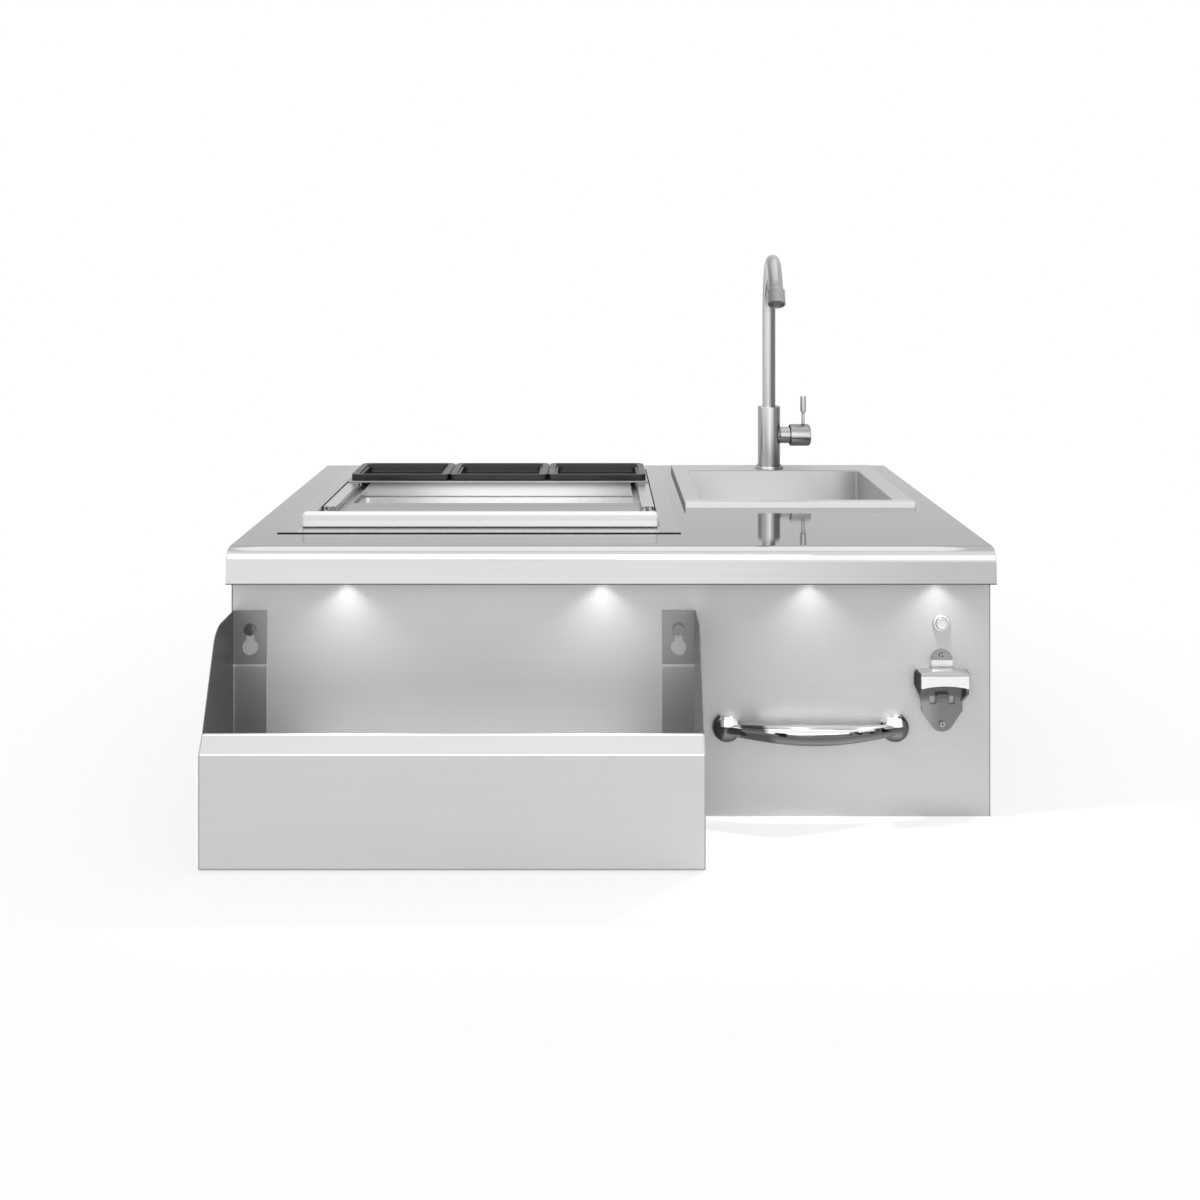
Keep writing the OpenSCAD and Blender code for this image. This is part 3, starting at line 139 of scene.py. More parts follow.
class Finish(Nodes):
    """A material under construction, on Object coordinates in metres"""

    def __init__(self, name, colour, roughness, metallic=1.0, **constants):
        self.material = bpy.data.materials.new(name)
        self.material.use_nodes = True
        super().__init__(self.material.node_tree)
        self.shader = self.tree.nodes["Principled BSDF"]
        self.set("Base Color", (*colour, 1))
        self.set("Roughness", roughness)
        self.set("Metallic", metallic)
        for socket, value in constants.items():
            self.set(socket.replace("_", " "), value)
        self.place = self.add("ShaderNodeTexCoord", {}, {}, "Object")

    def set(self, socket, value):
        self.join(self.shader.inputs[socket], value)

    def lead(self, socket):
        """What already feeds an input of the shader"""
        return Wire(self, self.shader.inputs[socket].links[0].from_socket)

    def noise(self, scale, detail=2.0):
        """Noise from 0 to 1 about 0.5, with its own scale on each axis"""
        stretched = self.add("ShaderNodeMapping", {}, {"Vector": self.place, "Scale": scale})
        return self.add("ShaderNodeTexNoise", {},
                        {"Vector": stretched, "Scale": 1.0, "Detail": detail, "Roughness": 0.6})

    def blend(self, mask, first, second):
        """A colour that goes from first to second with the mask"""
        first, second = ((*end, 1) if isinstance(end, tuple) else end for end in (first, second))
        return self.add("ShaderNodeMix", {"data_type": "RGBA", "clamp_factor": True},
                        {0: mask, 6: first, 7: second}, 2)

    def coordinate(self, axis):
        return self.add("ShaderNodeSeparateXYZ", {}, {"Vector": self.place}, axis)

    def ramp(self, axis, start, end):
        """0 before the start and 1 past the end of a stretch of an axis, eased at both ends"""
        return self.past(self.coordinate(axis), start, end, "SMOOTHSTEP")

    def away(self, centre):
        """Distance from a line along Y through a centre"""
        offset = self.vector("SUBTRACT", self.place, centre)
        return self.vector("LENGTH", self.vector("MULTIPLY", offset, (1, 0, 1)))

    def across(self, centre, course, half):
        """Place from 0 to 1 along a course through a centre, from half before it to half past it"""
        offset = self.vector("SUBTRACT", self.place, centre)
        return self.vector("DOT_PRODUCT", offset, course) * (0.5 / half) + 0.5

    def greys(self, place, stops):
        """Greys as shade() takes them, at stops between 0 and 1"""
        stops = [(spot, shade(grey)[0]) for spot, grey in stops]
        return self.add("ShaderNodeValToRGB", {"stops": stops}, {"Fac": place})

    def bump(self, height, distance, strength):
        self.set("Normal", self.add("ShaderNodeBump", {}, {
            "Height": height, "Distance": distance, "Strength": strength}))


def shade(value):
    """The linear colour of a grey that a screen shows, from 0 for black to 255 for white"""
    level = value / 255
    level = level / 12.92 if level <= 0.04045 else ((level + 0.055) / 1.055) ** 2.4
    return (level, level, level)


def brushed(name, grey, roughness, along=0, coarse=1.0, depth=0.25, tint=(1, 1, 1), metallic=1.0,
            painted_zones=()):
    """Brushed steel: two widths of streaks along one axis, cloudy handling marks, a shallow grain.
    grey is its tone as shade() takes it, and along is the axis that the brush ran on; a face across
    that axis is brushed along another. Each zone (axis, start, end, grey) gives what lies past that
    stretch of the axis a grey of its own. depth is the grain's strength and coarse its width."""
    steel = Finish(name, shade(grey), roughness, metallic)

    def brush(axis):
        fine, wide = [900 / coarse] * 3, [210 / coarse] * 3
        fine[axis], wide[axis] = 5, 2.2
        return steel.noise(tuple(fine), 3) * 0.6 + steel.noise(tuple(wide), 2) * 0.4

    streaks = brush(along)
    normal = steel.add("ShaderNodeTexCoord", {}, {}, "Normal")
    facing = abs(steel.add("ShaderNodeSeparateXYZ", {}, {"Vector": normal}, along))
    streaks = streaks + (brush(1 if along == 0 else 0) - streaks) * steel.past(facing, 0.6, 0.8)
    clouds = steel.noise((5, 5, 5), 3)
    mix = streaks * 0.75 + clouds * 0.25

    def streaked(value):
        base = [part * share for part, share in zip(shade(value), tint)]
        darker, lighter = (tuple(min(1.0, share * part) for part in base) for share in (0.9, 1.1))
        return steel.blend(mix, darker, lighter)

    tone = streaked(grey)
    # Each zone paints a highlight, a reflection or a shade as a grey of its own.
    for axis, start, end, value in painted_zones:
        tone = steel.blend(steel.ramp(axis, start, end), tone, streaked(value))
    steel.set("Base Color", tone)
    steel.set("Roughness", (streaks - 0.5) * 0.12 + (clouds - 0.5) * 0.06 + roughness)
    steel.bump(streaks, 0.00003, depth)
    return steel


def wear(finish, *names):
    """Gives the finish to CAD nodes, whose shapes are right as they are"""
    for name in names:
        nodes[name].data.materials.clear()
        nodes[name].data.materials.append(finish.material)


def softened(name, node, finish, body, width=0.4, steps=2, rounder=None):
    """A copy of a CAD node's mesh, merged, its flat faces joined, and its edges rounded off by the
    width in millimetres. rounder (width, test) first rounds the edges whose middle, in millimetres,
    meets the test. Large faces keep their own normal and the strips between them blend. It takes
    the node's place."""
    mesh = bpy.data.meshes.new(name)
    whole = bmesh.new()
    whole.from_mesh(nodes[node].data)
    bmesh.ops.remove_doubles(whole, verts=whole.verts, dist=1e-6)
    bmesh.ops.dissolve_limit(whole, angle_limit=math.radians(0.5), verts=whole.verts,
                             edges=whole.edges)
    rounds = [(width, lambda middle: True, steps, 24)]
    if rounder:
        rounds.insert(0, (*rounder, 5, 20))
    for wide, test, count, sharper in rounds:
        sharp = [edge for edge in whole.edges if len(edge.link_faces) == 2
                 and edge.calc_face_angle(0) > math.radians(sharper)
                 and test((edge.verts[0].co + edge.verts[1].co) * 500)]
        bmesh.ops.bevel(whole, geom=sharp, offset=wide / 1000, segments=count, profile=0.5,
                        affect="EDGES", clamp_overlap=True)
    for face in whole.faces:
        face.smooth = True
    whole.to_mesh(mesh)
    whole.free()
    mesh.set_sharp_from_angle(angle=math.radians(40))
    mesh.materials.append(finish.material)
    made = bpy.data.objects.new(name, mesh)
    bpy.context.scene.collection.objects.link(made)
    lean = made.modifiers.new("lean", "WEIGHTED_NORMAL")
    lean.keep_sharp, lean.weight = True, 100
    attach(made, body)
    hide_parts(node)
    return made


sheet_low, sheet_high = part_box("worktop")
nose_z = sheet_high.z - 0.0175
# Painted reflection: the flat top is the darkest grey, the upper nose grey, the lower nose lighter.
painted_nose_and_top = [(2, nose_z, nose_z + 0.0035, 214), (2, nose_z + 0.011, nose_z + 0.014, 182),
              (2, sheet_high.z - 0.0007, sheet_high.z - 0.0001, 146)]
worktop_steel = brushed("worktop_steel", 222, 0.06, depth=0.02, metallic=0.92, painted_zones=painted_nose_and_top)
# Painted shade on the right part of the apron, and a dark painted line along the hem at its foot.
apron_painted_shade = worktop_steel.ramp(0, 0.1, 0.5) * worktop_steel.ramp(2, nose_z, nose_z - 0.0015)
tone = worktop_steel.blend(apron_painted_shade, worktop_steel.lead("Base Color"), shade(192))
hem_painted_shade = worktop_steel.ramp(2, sheet_low.z + 0.0018, sheet_low.z + 0.0012)
worktop_steel.set("Base Color", worktop_steel.blend(hem_painted_shade, tone, shade(96)))
panel_low, panel_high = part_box("front_panel")
shaded_edge_start, shaded_edge_end = 0.0022, 0.0016
# Painted shade: the panel grows darker to the right from x 0.09 m, with dark lines at both ends.
panel_painted_shade = [(0, 0.09, 0.15, 180), (0, panel_low.x + shaded_edge_start, panel_low.x + shaded_edge_end, 118),
               (0, panel_high.x - shaded_edge_start, panel_high.x - shaded_edge_end, 140)]
panel_steel = brushed("panel_steel", 192, 0.45, metallic=0.4, painted_zones=panel_painted_shade)
back_steel = brushed("back_steel", 188, 0.45, metallic=0.4)
inner_steel = brushed("inner_steel", 170, 0.42, along=1)
side_x, corner_z = sheet_high.x * 1000 - 0.1, 364
softened("worktop_sheet", "worktop", worktop_steel, "cabinet", 0.5,
         rounder=(3.4, lambda middle: abs(middle.x) > side_x and middle.z > corner_z))
softened("front_sheet", "front_panel", panel_steel, "cabinet")
wear(back_steel, "back_panel")
wear(inner_steel, "bottom_pan", "left_side", "right_side")

# ---- Ice bin ----
# The bin is drawn and welded from thinner stainless steel with a satin finish inside, and is
# foamed in from behind. Its drain is a spun spigot with a plastic nut.
bin_low, bin_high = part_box("ice_bin")
bar_low, bar_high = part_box("lid_bar")
flange_z, fade = bin_high.z - 0.0025, 0.001
# Painted shade: the back wall darkens towards its top, under the trays. The polished flange has a
wall_shade_and_flange = [(2, 0.3405, 0.35, 212), (2, 0.346, 0.356, 140),
              # darker grey, partly from its finish and partly painted.
              (2, flange_z, flange_z + 0.0005, 152)]
bin_steel = brushed("bin_steel", 236, 0.4, metallic=0.5, painted_zones=wall_shade_and_flange)
flange = bin_steel.ramp(2, flange_z, flange_z + 0.0005)
bin_steel.set("Metallic", flange * 0.42 + 0.5)
bin_steel.set("Roughness", flange * -0.34 + 0.4)
# A painted reflection of the lid's bar, on the flange in front of the bar.
painted_bar_reflection = (bin_steel.ramp(0, bar_low.x - fade, bar_low.x)
            * bin_steel.ramp(0, bar_high.x + fade, bar_high.x)
            * bin_steel.ramp(1, bar_low.y, bar_low.y - fade))
tone = bin_steel.blend(painted_bar_reflection, bin_steel.lead("Base Color"), shade(176))
# A dark painted shade line along the flange's front edge.
front_edge_shade = bin_steel.ramp(1, bin_low.y + 0.0007, bin_low.y + 0.0003)
bin_steel.set("Base Color", bin_steel.blend(front_edge_shade, tone, shade(52)))
runner_steel = brushed("runner_steel", 186, 0.3, along=1, metallic=0.85)
foam = Finish("bin_foam", (0.8, 0.72, 0.5), 0.9, 0.0)
cells = foam.noise((160, 160, 160), 4)
foam.set("Base Color", foam.blend(cells, (0.7, 0.6, 0.38), (0.88, 0.82, 0.62)))
foam.bump(cells, 0.001, 0.6)
black_moulded = Finish("black_moulded", (0.02, 0.02, 0.02), 0.42, 0.0)
grain = black_moulded.noise((1400, 1400, 1400), 2)
black_moulded.set("Roughness", (grain - 0.5) * 0.2 + 0.42)
black_moulded.bump(grain, 0.0001, 0.3)
softened("bin_basin", "ice_bin", bin_steel, "cabinet", 0.4)
softened("bin_runners", "runners", runner_steel, "cabinet", 0.3)
wear(bin_steel, "bin_drain", "runner_rivets")
wear(foam, "bin_foam")
wear(black_moulded, "bin_drain_nut", "strainer_nut", "lamp_driver")

# ---- Lid ----
# The lid is a folded stainless sheet, brushed along the width, with a hollow bar along its front
# to pull it by. It slides on the runners, beneath the trays.
lid_steel = brushed("lid_steel", 158, 0.32, metallic=0.45)
bar_middle = (bar_low.z + bar_high.z) / 2
# A painted highlight: the bar turns white below its middle, along its lower bend.
bar_steel = brushed("bar_steel", 236, 0.3, metallic=0.4,
                    painted_zones=[(2, bar_middle + 0.001, bar_middle - 0.002, 255)])
softened("lid_plate", "lid_sheet", lid_steel, "lid", 0.3)


def eased(points, radius):
    """A row of points with its corners rounded. Each corner p between the ends becomes the curve
    (1-t)^2 a + 2t(1-t) p + t^2 b, from a on the side before p to b on the side after it, both at
    the radius from p or half a side away."""
    corner = np.asarray(points, float)
    back, ahead = np.roll(corner, 1, 0) - corner, np.roll(corner, -1, 0) - corner
    back_l, ahead_l = (np.maximum(np.linalg.norm(side, axis=1), 1e-9) for side in (back, ahead))
    reach = np.minimum(np.broadcast_to(radius, len(corner)), 0.5 * np.minimum(back_l, ahead_l))
    reach = reach * np.r_[0, np.ones(len(corner) - 2), 0]
    a = corner + back * (reach / back_l)[:, None]
    b = corner + ahead * (reach / ahead_l)[:, None]
    t = np.linspace(0, 1, 7)[None, :, None]
    curve = (1 - t) ** 2 * a[:, None] + 2 * t * (1 - t) * corner[:, None] + t ** 2 * b[:, None]
    return curve.reshape(-1, corner.shape[1])


def frame_rings(rings):
    """Rounded rectangles, one for each row (x0, x1, y0, y1, z, r): the four quarter circles of
    radius r about the inner corners, joined by straight sides"""
    x0, x1, y0, y1, z, r = np.asarray(rings, float).T[:, :, None, None]
    turn = np.radians(np.arange(4)[:, None] * 90 + np.linspace(0, 90, 9))[None]
    right = np.array([1, 0, 0, 1])[None, :, None]
    rear = np.array([1, 1, 0, 0])[None, :, None]
    x = (x0 + r) + right * (x1 - x0 - 2 * r) + r * np.cos(turn)
    y = (y0 + r) + rear * (y1 - y0 - 2 * r) + r * np.sin(turn)
    return np.stack(np.broadcast_arrays(x, y, z), -1).reshape(len(rings), -1, 3)


def piece(name, grids, finish, slot, body, *replaced, capped=False):
    """A mesh of one or more grids of points in millimetres, rows by columns, the last column joined
    to the first. capped closes the first and last rows with a face each."""
    corners, faces, start = [], [], 0
    for grid in grids:
        rows, columns = grid.shape[:2]
        index = np.arange(rows * columns).reshape(rows, columns) + start
        index = np.concatenate([index, index[:, :1]], 1)
        quads = np.stack([index[:-1, :-1], index[:-1, 1:], index[1:, 1:], index[1:, :-1]], -1)
        faces += quads.reshape(-1, 4).tolist()
        if capped:
            faces += [index[0, :-1].tolist(), index[-1, -2::-1].tolist()]
        corners.append(grid.reshape(-1, 3) / 1000)
        start += rows * columns
    mesh = bpy.data.meshes.new(name)
    mesh.from_pydata(np.concatenate(corners).tolist(), [], faces)
    whole = bmesh.new()
    whole.from_mesh(mesh)
    bmesh.ops.remove_doubles(whole, verts=whole.verts, dist=1e-6)
    bmesh.ops.recalc_face_normals(whole, faces=whole.faces)
    whole.to_mesh(mesh)
    whole.free()
    mesh.polygons.foreach_set("use_smooth", [True] * len(mesh.polygons))
    mesh.set_sharp_from_angle(angle=math.radians(32))
    mesh.materials.append(finish.material)
    made = bpy.data.objects.new(name, mesh)
    bpy.context.scene.collection.objects.link(made)
    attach(made, body)
    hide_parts(*replaced)


def span(node):
    """The lowest and the highest corner of a CAD node, in millimetres"""
    return [np.array(corner) * 1000 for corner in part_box(node)]


(left, front, base), (right, back, crown) = span("lid_bar")
crown_drop, front_ease, end_length, bar_corner = 5, 1.5, 5, 3.2
quarter = np.radians(np.linspace(0, 90, 8))[:, None]
short = 1 - np.sin(quarter)
left_rings = np.hstack([front + front_ease * short, back + 0 * short, base + 0 * short,
                        crown - crown_drop * short, left + end_length * (1 - np.cos(quarter)),
                        bar_corner + 0 * short])
right_rings = left_rings[::-1] * [1, 1, 1, 1, -1, 1] + [0, 0, 0, 0, left + right, 0]
# The bar lies along X, so frame_rings works on (y, z, x) and the axes are turned back.
bar = np.roll(frame_rings(np.vstack([left_rings, right_rings])), 1, axis=-1)
piece("lid_front_bar", [bar], bar_steel, "lid_steel", "lid", "lid_bar", capped=True)

# ---- Trays and their carrier ----
# Three black moulded pans hang in a stainless frame across the runners. A pan has a flat rim
# with a turned-down skirt and a narrow step inside, and its walls lean in a little.
tray_plastic = Finish("tray_plastic", (0.012, 0.012, 0.013), 0.3, 0.0)
pebble = tray_plastic.noise((900, 900, 900), 2)
smear = tray_plastic.noise((18, 18, 18), 3)
tray_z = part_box("tray_left")[1].z
# Painted sheen: the rim's top is a lighter grey, mottled at random; below it the pan is darker.
rim_top_sheen = tray_plastic.ramp(2, tray_z - 0.0022, tray_z - 0.0012)
rim_smear_and_sheen = tray_plastic.blend(smear, (0.016, 0.017, 0.018), (0.03, 0.031, 0.032))
tray_plastic.set("Base Color", tray_plastic.blend(rim_top_sheen, (0.004, 0.004, 0.005), rim_smear_and_sheen))
tray_plastic.set("Roughness", smear * 0.18 + pebble * 0.12 + 0.2)
tray_plastic.bump(pebble, 0.00012, 0.3)
softened("carrier_frame", "tray_carrier", inner_steel, "carrier", 0.3)
wall_eases = [0, 4, 1.2, 1.2, 1.4, 3, 1.8, 1.6, 0.4, 0.3, 1, 1.5, 4, 0]
for side in ("left", "centre", "right"):
    low, high = span(f"tray_{side}")
    rim_z, step_z, under_z, skirt_z = high[2] - np.array([0, 4, 6.4, 11])
    floor_z, base_z = low[2] + 2.4, low[2]
    # From the floor inside, up the wall, over the rim, down the skirt and back beneath the pan.
    # A row is (inset from the sides, inset from the front and back, z, corner radius).
    wall = [(38, 34, floor_z + 0.4, 1), (18, 12, floor_z, 7), (16.4, 10.4, step_z, 9),
            (12.4, 6.4, step_z, 10), (11.9, 5.9, rim_z - 0.5, 10), (8, 3.6, rim_z - 0.9, 10),
            (3.4, 2.6, rim_z, 10), (0, 0, rim_z - 0.6, 9), (0, 0, skirt_z, 9),
            (2.2, 2.2, skirt_z, 7), (2.4, 2.4, under_z, 7), (14, 7.6, under_z, 9),
            (16.2, 10.2, base_z, 7), (38, 34, base_z, 1)]
    rows = [(80, 50, floor_z, 0.5), *eased(wall, wall_eases), (80, 50, base_z, 0.5)]
    rings = [(low[0] + i, high[0] - i, low[1] + j, high[1] - j, z, r) for i, j, z, r in rows]
    piece(f"tray_pan_{side}", [frame_rings(rings)], tray_plastic, "tray_plastic", f"{side}_tray",
          f"tray_{side}", capped=True)

# ---- Sink ----
# The sink is welded from stainless sheet and blasted to a satin finish, with a polished drain. Its
# rim lies on the worktop, and clips pull it down from below.
sink_low, sink_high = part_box("sink_bowl")
# Painted light on the sink: the rim's top a darker grey, its front strip a grey of its own, a
sink_steel = brushed("sink_steel", 224, 0.42, metallic=0.35,
                     # painted highlight on its front edge, a dark painted line at its left end, the
                     # right wall in shade.
                     painted_zones=[(2, sink_high.z - 0.002, sink_high.z - 0.001, 184)])
wall_x = sink_high.x - 0.033
inside = sink_steel.ramp(2, sink_high.z - 0.0015, sink_high.z - 0.0025)
wall_shade = sink_steel.ramp(0, wall_x - 0.048, wall_x - 0.002) * inside
tone = sink_steel.blend(wall_shade, sink_steel.lead("Base Color"), shade(172))
for axis, start, end, grey in ((1, sink_low.y + 0.0206, sink_low.y + 0.0204, 200),
                               (1, sink_low.y + 0.0009, sink_low.y + 0.0006, 255),
                               (0, sink_low.x + 0.001, sink_low.x + 0.0007, 112)):
    tone = sink_steel.blend(sink_steel.ramp(axis, start, end), tone, shade(grey))
sink_steel.set("Base Color", tone)
drain_steel = brushed("drain_steel", 185, 0.2, depth=0.1)
softened("sink_basin", "sink_bowl", sink_steel, "cabinet", 0.6)
wear(drain_steel, "strainer_body", "strainer_basket", "sink_tailpiece", "sink_clips")

# ---- Tap ----
# The tap stands on the sink's rear deck. Its ring, body, valve neck, hub and lever are turned from
# stainless bar, the spout is a bent tube with a turned nozzle, and all of them are brushed. The
# greys across each round part are a painted reflection of the room around the polished metal.
(ring_low, ring_high), (hub_low, hub_high) = span("tap_ring"), span("lever_hub")
tap_x, tap_y, _ = (ring_low + ring_high) / 2
deck_z, foot_z = ring_low[2], ring_high[2]
shoulder_z, bend_z = span("tap_body")[1][2], span("spout_tube")[1][2]
hub_x, hub_end, hub_z = hub_low[0], hub_high[0], (hub_low[2] + hub_high[2]) / 2
body_radius, hub_radius, lever_x, lever_radius = 20.5, 20, 365.367, 5.3
tube_radius, tube_bore, bend_radius = 12, 10.8, 97
swing = math.radians(-5)
cross = np.array([math.cos(swing), math.sin(swing), 0])
forward = np.array([math.sin(swing), -math.cos(swing), 0])
tap_steel = brushed("tap_steel", 202, 0.26, along=2, coarse=0.6, depth=0.1, metallic=0.9)
tap_grain = tap_steel.noise((300, 300, 12), 2) * 0.1 + 0.95
tube = tap_steel.greys(
    tap_steel.across((tap_x / 1000, tap_y / 1000, 0), cross, tube_radius / 1000),
    [(0, 150), (0.1, 190), (0.25, 214), (0.42, 222), (0.54, 176), (0.66, 112), (0.82, 106),
     (1, 140)])
barrel = tap_steel.greys(
    tap_steel.across((tap_x / 1000, 0, 0), (1, 0, 0), body_radius / 1000),
    [(0, 156), (0.08, 156), (0.17, 218), (0.36, 212), (0.46, 236), (0.56, 206), (0.68, 128),
     (0.88, 112), (1, 118)])
hub = tap_steel.greys(
    tap_steel.across((0, 0, hub_z / 1000), (0, 0, 1), hub_radius / 1000),
    [(0, 90), (0.1, 120), (0.3, 138), (0.43, 104), (0.47, 196), (0.55, 196), (0.8, 160), (1, 116)])
lever = tap_steel.greys(
    tap_steel.across((lever_x / 1000, 0, 0), (1, 0, 0), lever_radius / 1000),
    [(0, 140), (0.2, 190), (0.45, 222), (0.7, 170), (1, 100)])
reach = tap_steel.greys(
    tap_steel.across((0.289, 0.09, 0), cross, 0.015),
    [(0, 118), (0.2, 132), (0.55, 172), (0.8, 168), (1, 140)])
tube = tap_steel.blend(tap_steel.ramp(1, 0.15, 0.13), tube, reach)
# The barrel's greys hold as far as its right side, the lever's above the hub and right of
# lever_side, and the tube's above the body and left of lever_side.
body_side, hub_top, lever_side = (tap_x + body_radius) / 1000, (hub_z + hub_radius) / 1000, 0.35
low_part = tap_steel.blend(tap_steel.ramp(0, body_side + 0.0001, body_side + 0.0003), barrel, hub)
on_lever = (tap_steel.ramp(2, hub_top + 0.001, hub_top + 0.0013)
            * tap_steel.ramp(0, lever_side, lever_side + 0.001))
low_part = tap_steel.blend(on_lever, low_part, lever)
on_spout = (tap_steel.ramp(2, shoulder_z / 1000, shoulder_z / 1000 + 0.0004)
            * tap_steel.ramp(0, lever_side, lever_side - 0.001))
tap_steel.set("Base Color", tap_steel.blend(on_spout, low_part, tube) * tap_grain)
brass = brushed("turned_brass", 200, 0.3, along=2, tint=(1.15, 0.86, 0.4))
copper = brushed("drawn_copper", 190, 0.3, along=2, tint=(1.4, 0.75, 0.5))
wear(tap_steel, "valve_stem")


def turned(profile, centre, axis=2, sides=96):
    """A surface turned on a lathe: each profile row (radius, place along the axis) becomes a
    circle, centre + radius cos a, radius sin a, across the axis"""
    radius, place = np.asarray(profile, float).T[:, :, None]
    a = np.linspace(0, 2 * math.pi, sides, endpoint=False)[None]
    ring = np.stack(np.broadcast_arrays(radius * np.cos(a), radius * np.sin(a), place), -1)
    return np.roll(ring, axis + 1, axis=-1) + np.asarray(centre, float)


tap_axis = (tap_x, tap_y, 0)
ring_bore, ring_radius = 16.2, ring_high[0] - tap_x
ring_profile = eased([(ring_bore, deck_z), (ring_radius, deck_z), (ring_radius, deck_z + 2.7),
                      (23.8, foot_z - 2), (23.6, foot_z), (ring_bore, foot_z), (ring_bore, deck_z)],
                     [0, 0.2, 1, 0.6, 0.9, 0.1, 0])
piece("tap_base_ring", [turned(ring_profile, tap_axis)], tap_steel, "tap_steel", "cabinet",
      "tap_ring")
socket_radius, socket_z = 12.05, 469
body_profile = eased([(0, foot_z), (20, foot_z), (body_radius, foot_z + 0.6),
                      (body_radius, shoulder_z - 0.6), (19.8, shoulder_z), (12.4, shoulder_z),
                      (socket_radius, shoulder_z - 0.6), (socket_radius, socket_z), (0, socket_z)],
                     [0, 0.1, 0.3, 0.5, 0.5, 0.2, 0.2, 0.2, 0])
piece("tap_barrel", [turned(body_profile, tap_axis)], tap_steel, "tap_steel", "cabinet", "tap_body")
neck_x = span("valve_neck")[0][0]
valve_centre = (0, tap_y, hub_z)
neck_profile = eased([(0, neck_x), (14.6, neck_x), (15, neck_x + 9), (15, hub_x - 0.5),
                      (14.6, hub_x), (0, hub_x)], [0, 0.2, 0.2, 0.5, 0.2, 0])
piece("tap_valve_neck", [turned(neck_profile, valve_centre, 0)], tap_steel, "tap_steel", "cabinet",
      "valve_neck")
hub_profile = eased([(18.5, hub_x), (19.5, hub_x), (hub_radius, hub_x + 0.6),
                     (hub_radius, hub_end - 3), (17.2, hub_end), (0, hub_end)],
                    [0, 0.2, 0.5, 2.6, 2.2, 0])
hub_inside = [(0, hub_x + 10.5), (5.2, hub_x + 7.5), (5.2, hub_x + 4.5), (9, hub_x + 4.5),
              (9, hub_x + 20), (18.5, hub_x + 20), (18.5, hub_x)]
piece("tap_lever_hub", [turned(np.concatenate([hub_inside, hub_profile]), valve_centre, 0)],
      tap_steel, "tap_steel", "lever", "lever_hub")
lever_low, lever_high = (corner[2] for corner in span("lever_rod"))
pin_radius = 3.2
lever_profile = eased([(0, lever_low), (pin_radius, lever_low), (pin_radius, 490), (3.6, 492.4),
                       (lever_radius, 493.4), (lever_radius, lever_high - 0.8), (4.4, lever_high),
                       (0, lever_high)], [0, 0.2, 1.4, 1, 1.2, 0.7, 0.6, 0])
piece("tap_lever_pin", [turned(lever_profile, (lever_x, tap_y, 0), sides=48)], tap_steel,
      "tap_steel", "lever", "lever_rod")


def swept(radius, line, sides=72):
    """A tube along a plane line: at each point a circle whose plane holds the direction across the
    swung spout and the line's normal, the cross product of the line's course and that direction"""
    course = np.gradient(line, axis=0)
    course /= np.linalg.norm(course, axis=1)[:, None]
    normal = np.cross(course, cross)
    a = np.linspace(0, 2 * math.pi, sides, endpoint=False)[None, :, None]
    radius = np.broadcast_to(radius, len(line))[:, None, None]
    return line[:, None] + radius * (np.cos(a) * cross + np.sin(a) * normal[:, None])


bend_turn = np.radians(np.linspace(0, 150, 61))[:, None]
bend_line = np.array([tap_x, tap_y, bend_z]) + bend_radius * (
    (1 - np.cos(bend_turn)) * forward + np.sin(bend_turn) * np.array([0, 0, 1]))
rise = np.array([[tap_x, tap_y, z] for z in (469.2, 500, 503.9, 560, 620, 660)], float)
tube_line = np.concatenate([rise, bend_line])
tube_outside, tube_inside = swept(tube_radius, tube_line), swept(tube_bore, tube_line)
piece("tap_spout", [np.concatenate([tube_outside, tube_inside[::-1], tube_outside[:1]])], tap_steel,
      "tap_steel", "spout", "spout_tube", "spout_bend")
drop = bend_line[-1] - bend_line[-2]
drop /= np.linalg.norm(drop)
nozzle_radius, nozzle_length, insert_depth = 15, 27, 24
nozzle_profile = eased([(0, 21), (tube_bore, 21), (tube_bore, 0), (13.6, 0), (nozzle_radius, 1.3),
                        (nozzle_radius, nozzle_length - 0.6), (14.5, nozzle_length),
                        (12.9, nozzle_length), (12.5, nozzle_length - 0.5), (12.5, insert_depth),
                        (0, insert_depth)], [0, 0.1, 0.1, 1, 1.2, 0.6, 0.4, 0.4, 0.4, 0.2, 0])
ring_radii, ring_places = nozzle_profile.T[:, :, None]
ring_turn = np.linspace(0, 2 * math.pi, 96, endpoint=False)[None, :, None]
sleeve = (bend_line[-1] + ring_places * drop)[:, None] + ring_radii[:, :, None] * (
    np.cos(ring_turn) * cross + np.sin(ring_turn) * np.cross(drop, cross))
piece("tap_aerator_sleeve", [sleeve], tap_steel, "tap_steel", "spout", "aerator")
# Painted shade in the nozzle's insert: dark cells for the sieve's holes, lighter between them.
mouth = (bend_line[-1] + insert_depth * drop) / 1000
offset = tap_steel.vector("SUBTRACT", tap_steel.place, mouth)
offset = tap_steel.vector("LENGTH", tap_steel.vector("CROSS_PRODUCT", offset, drop))
insert = tap_steel.past(offset, 0.0123, 0.012)
deep = tap_steel.past(tap_steel.across(mouth, drop, 0.001), 0, 1)
sieve = tap_steel.add("ShaderNodeTexVoronoi", {}, {"Vector": tap_steel.place, "Scale": 700.0})
holes = tap_steel.blend(sieve, shade(52), shade(110))
tap_steel.set("Base Color", tap_steel.blend(insert * deep, tap_steel.lead("Base Color"), holes))
wear(brass, "tap_shank", "tap_nut")
wear(copper, "supply_tails")

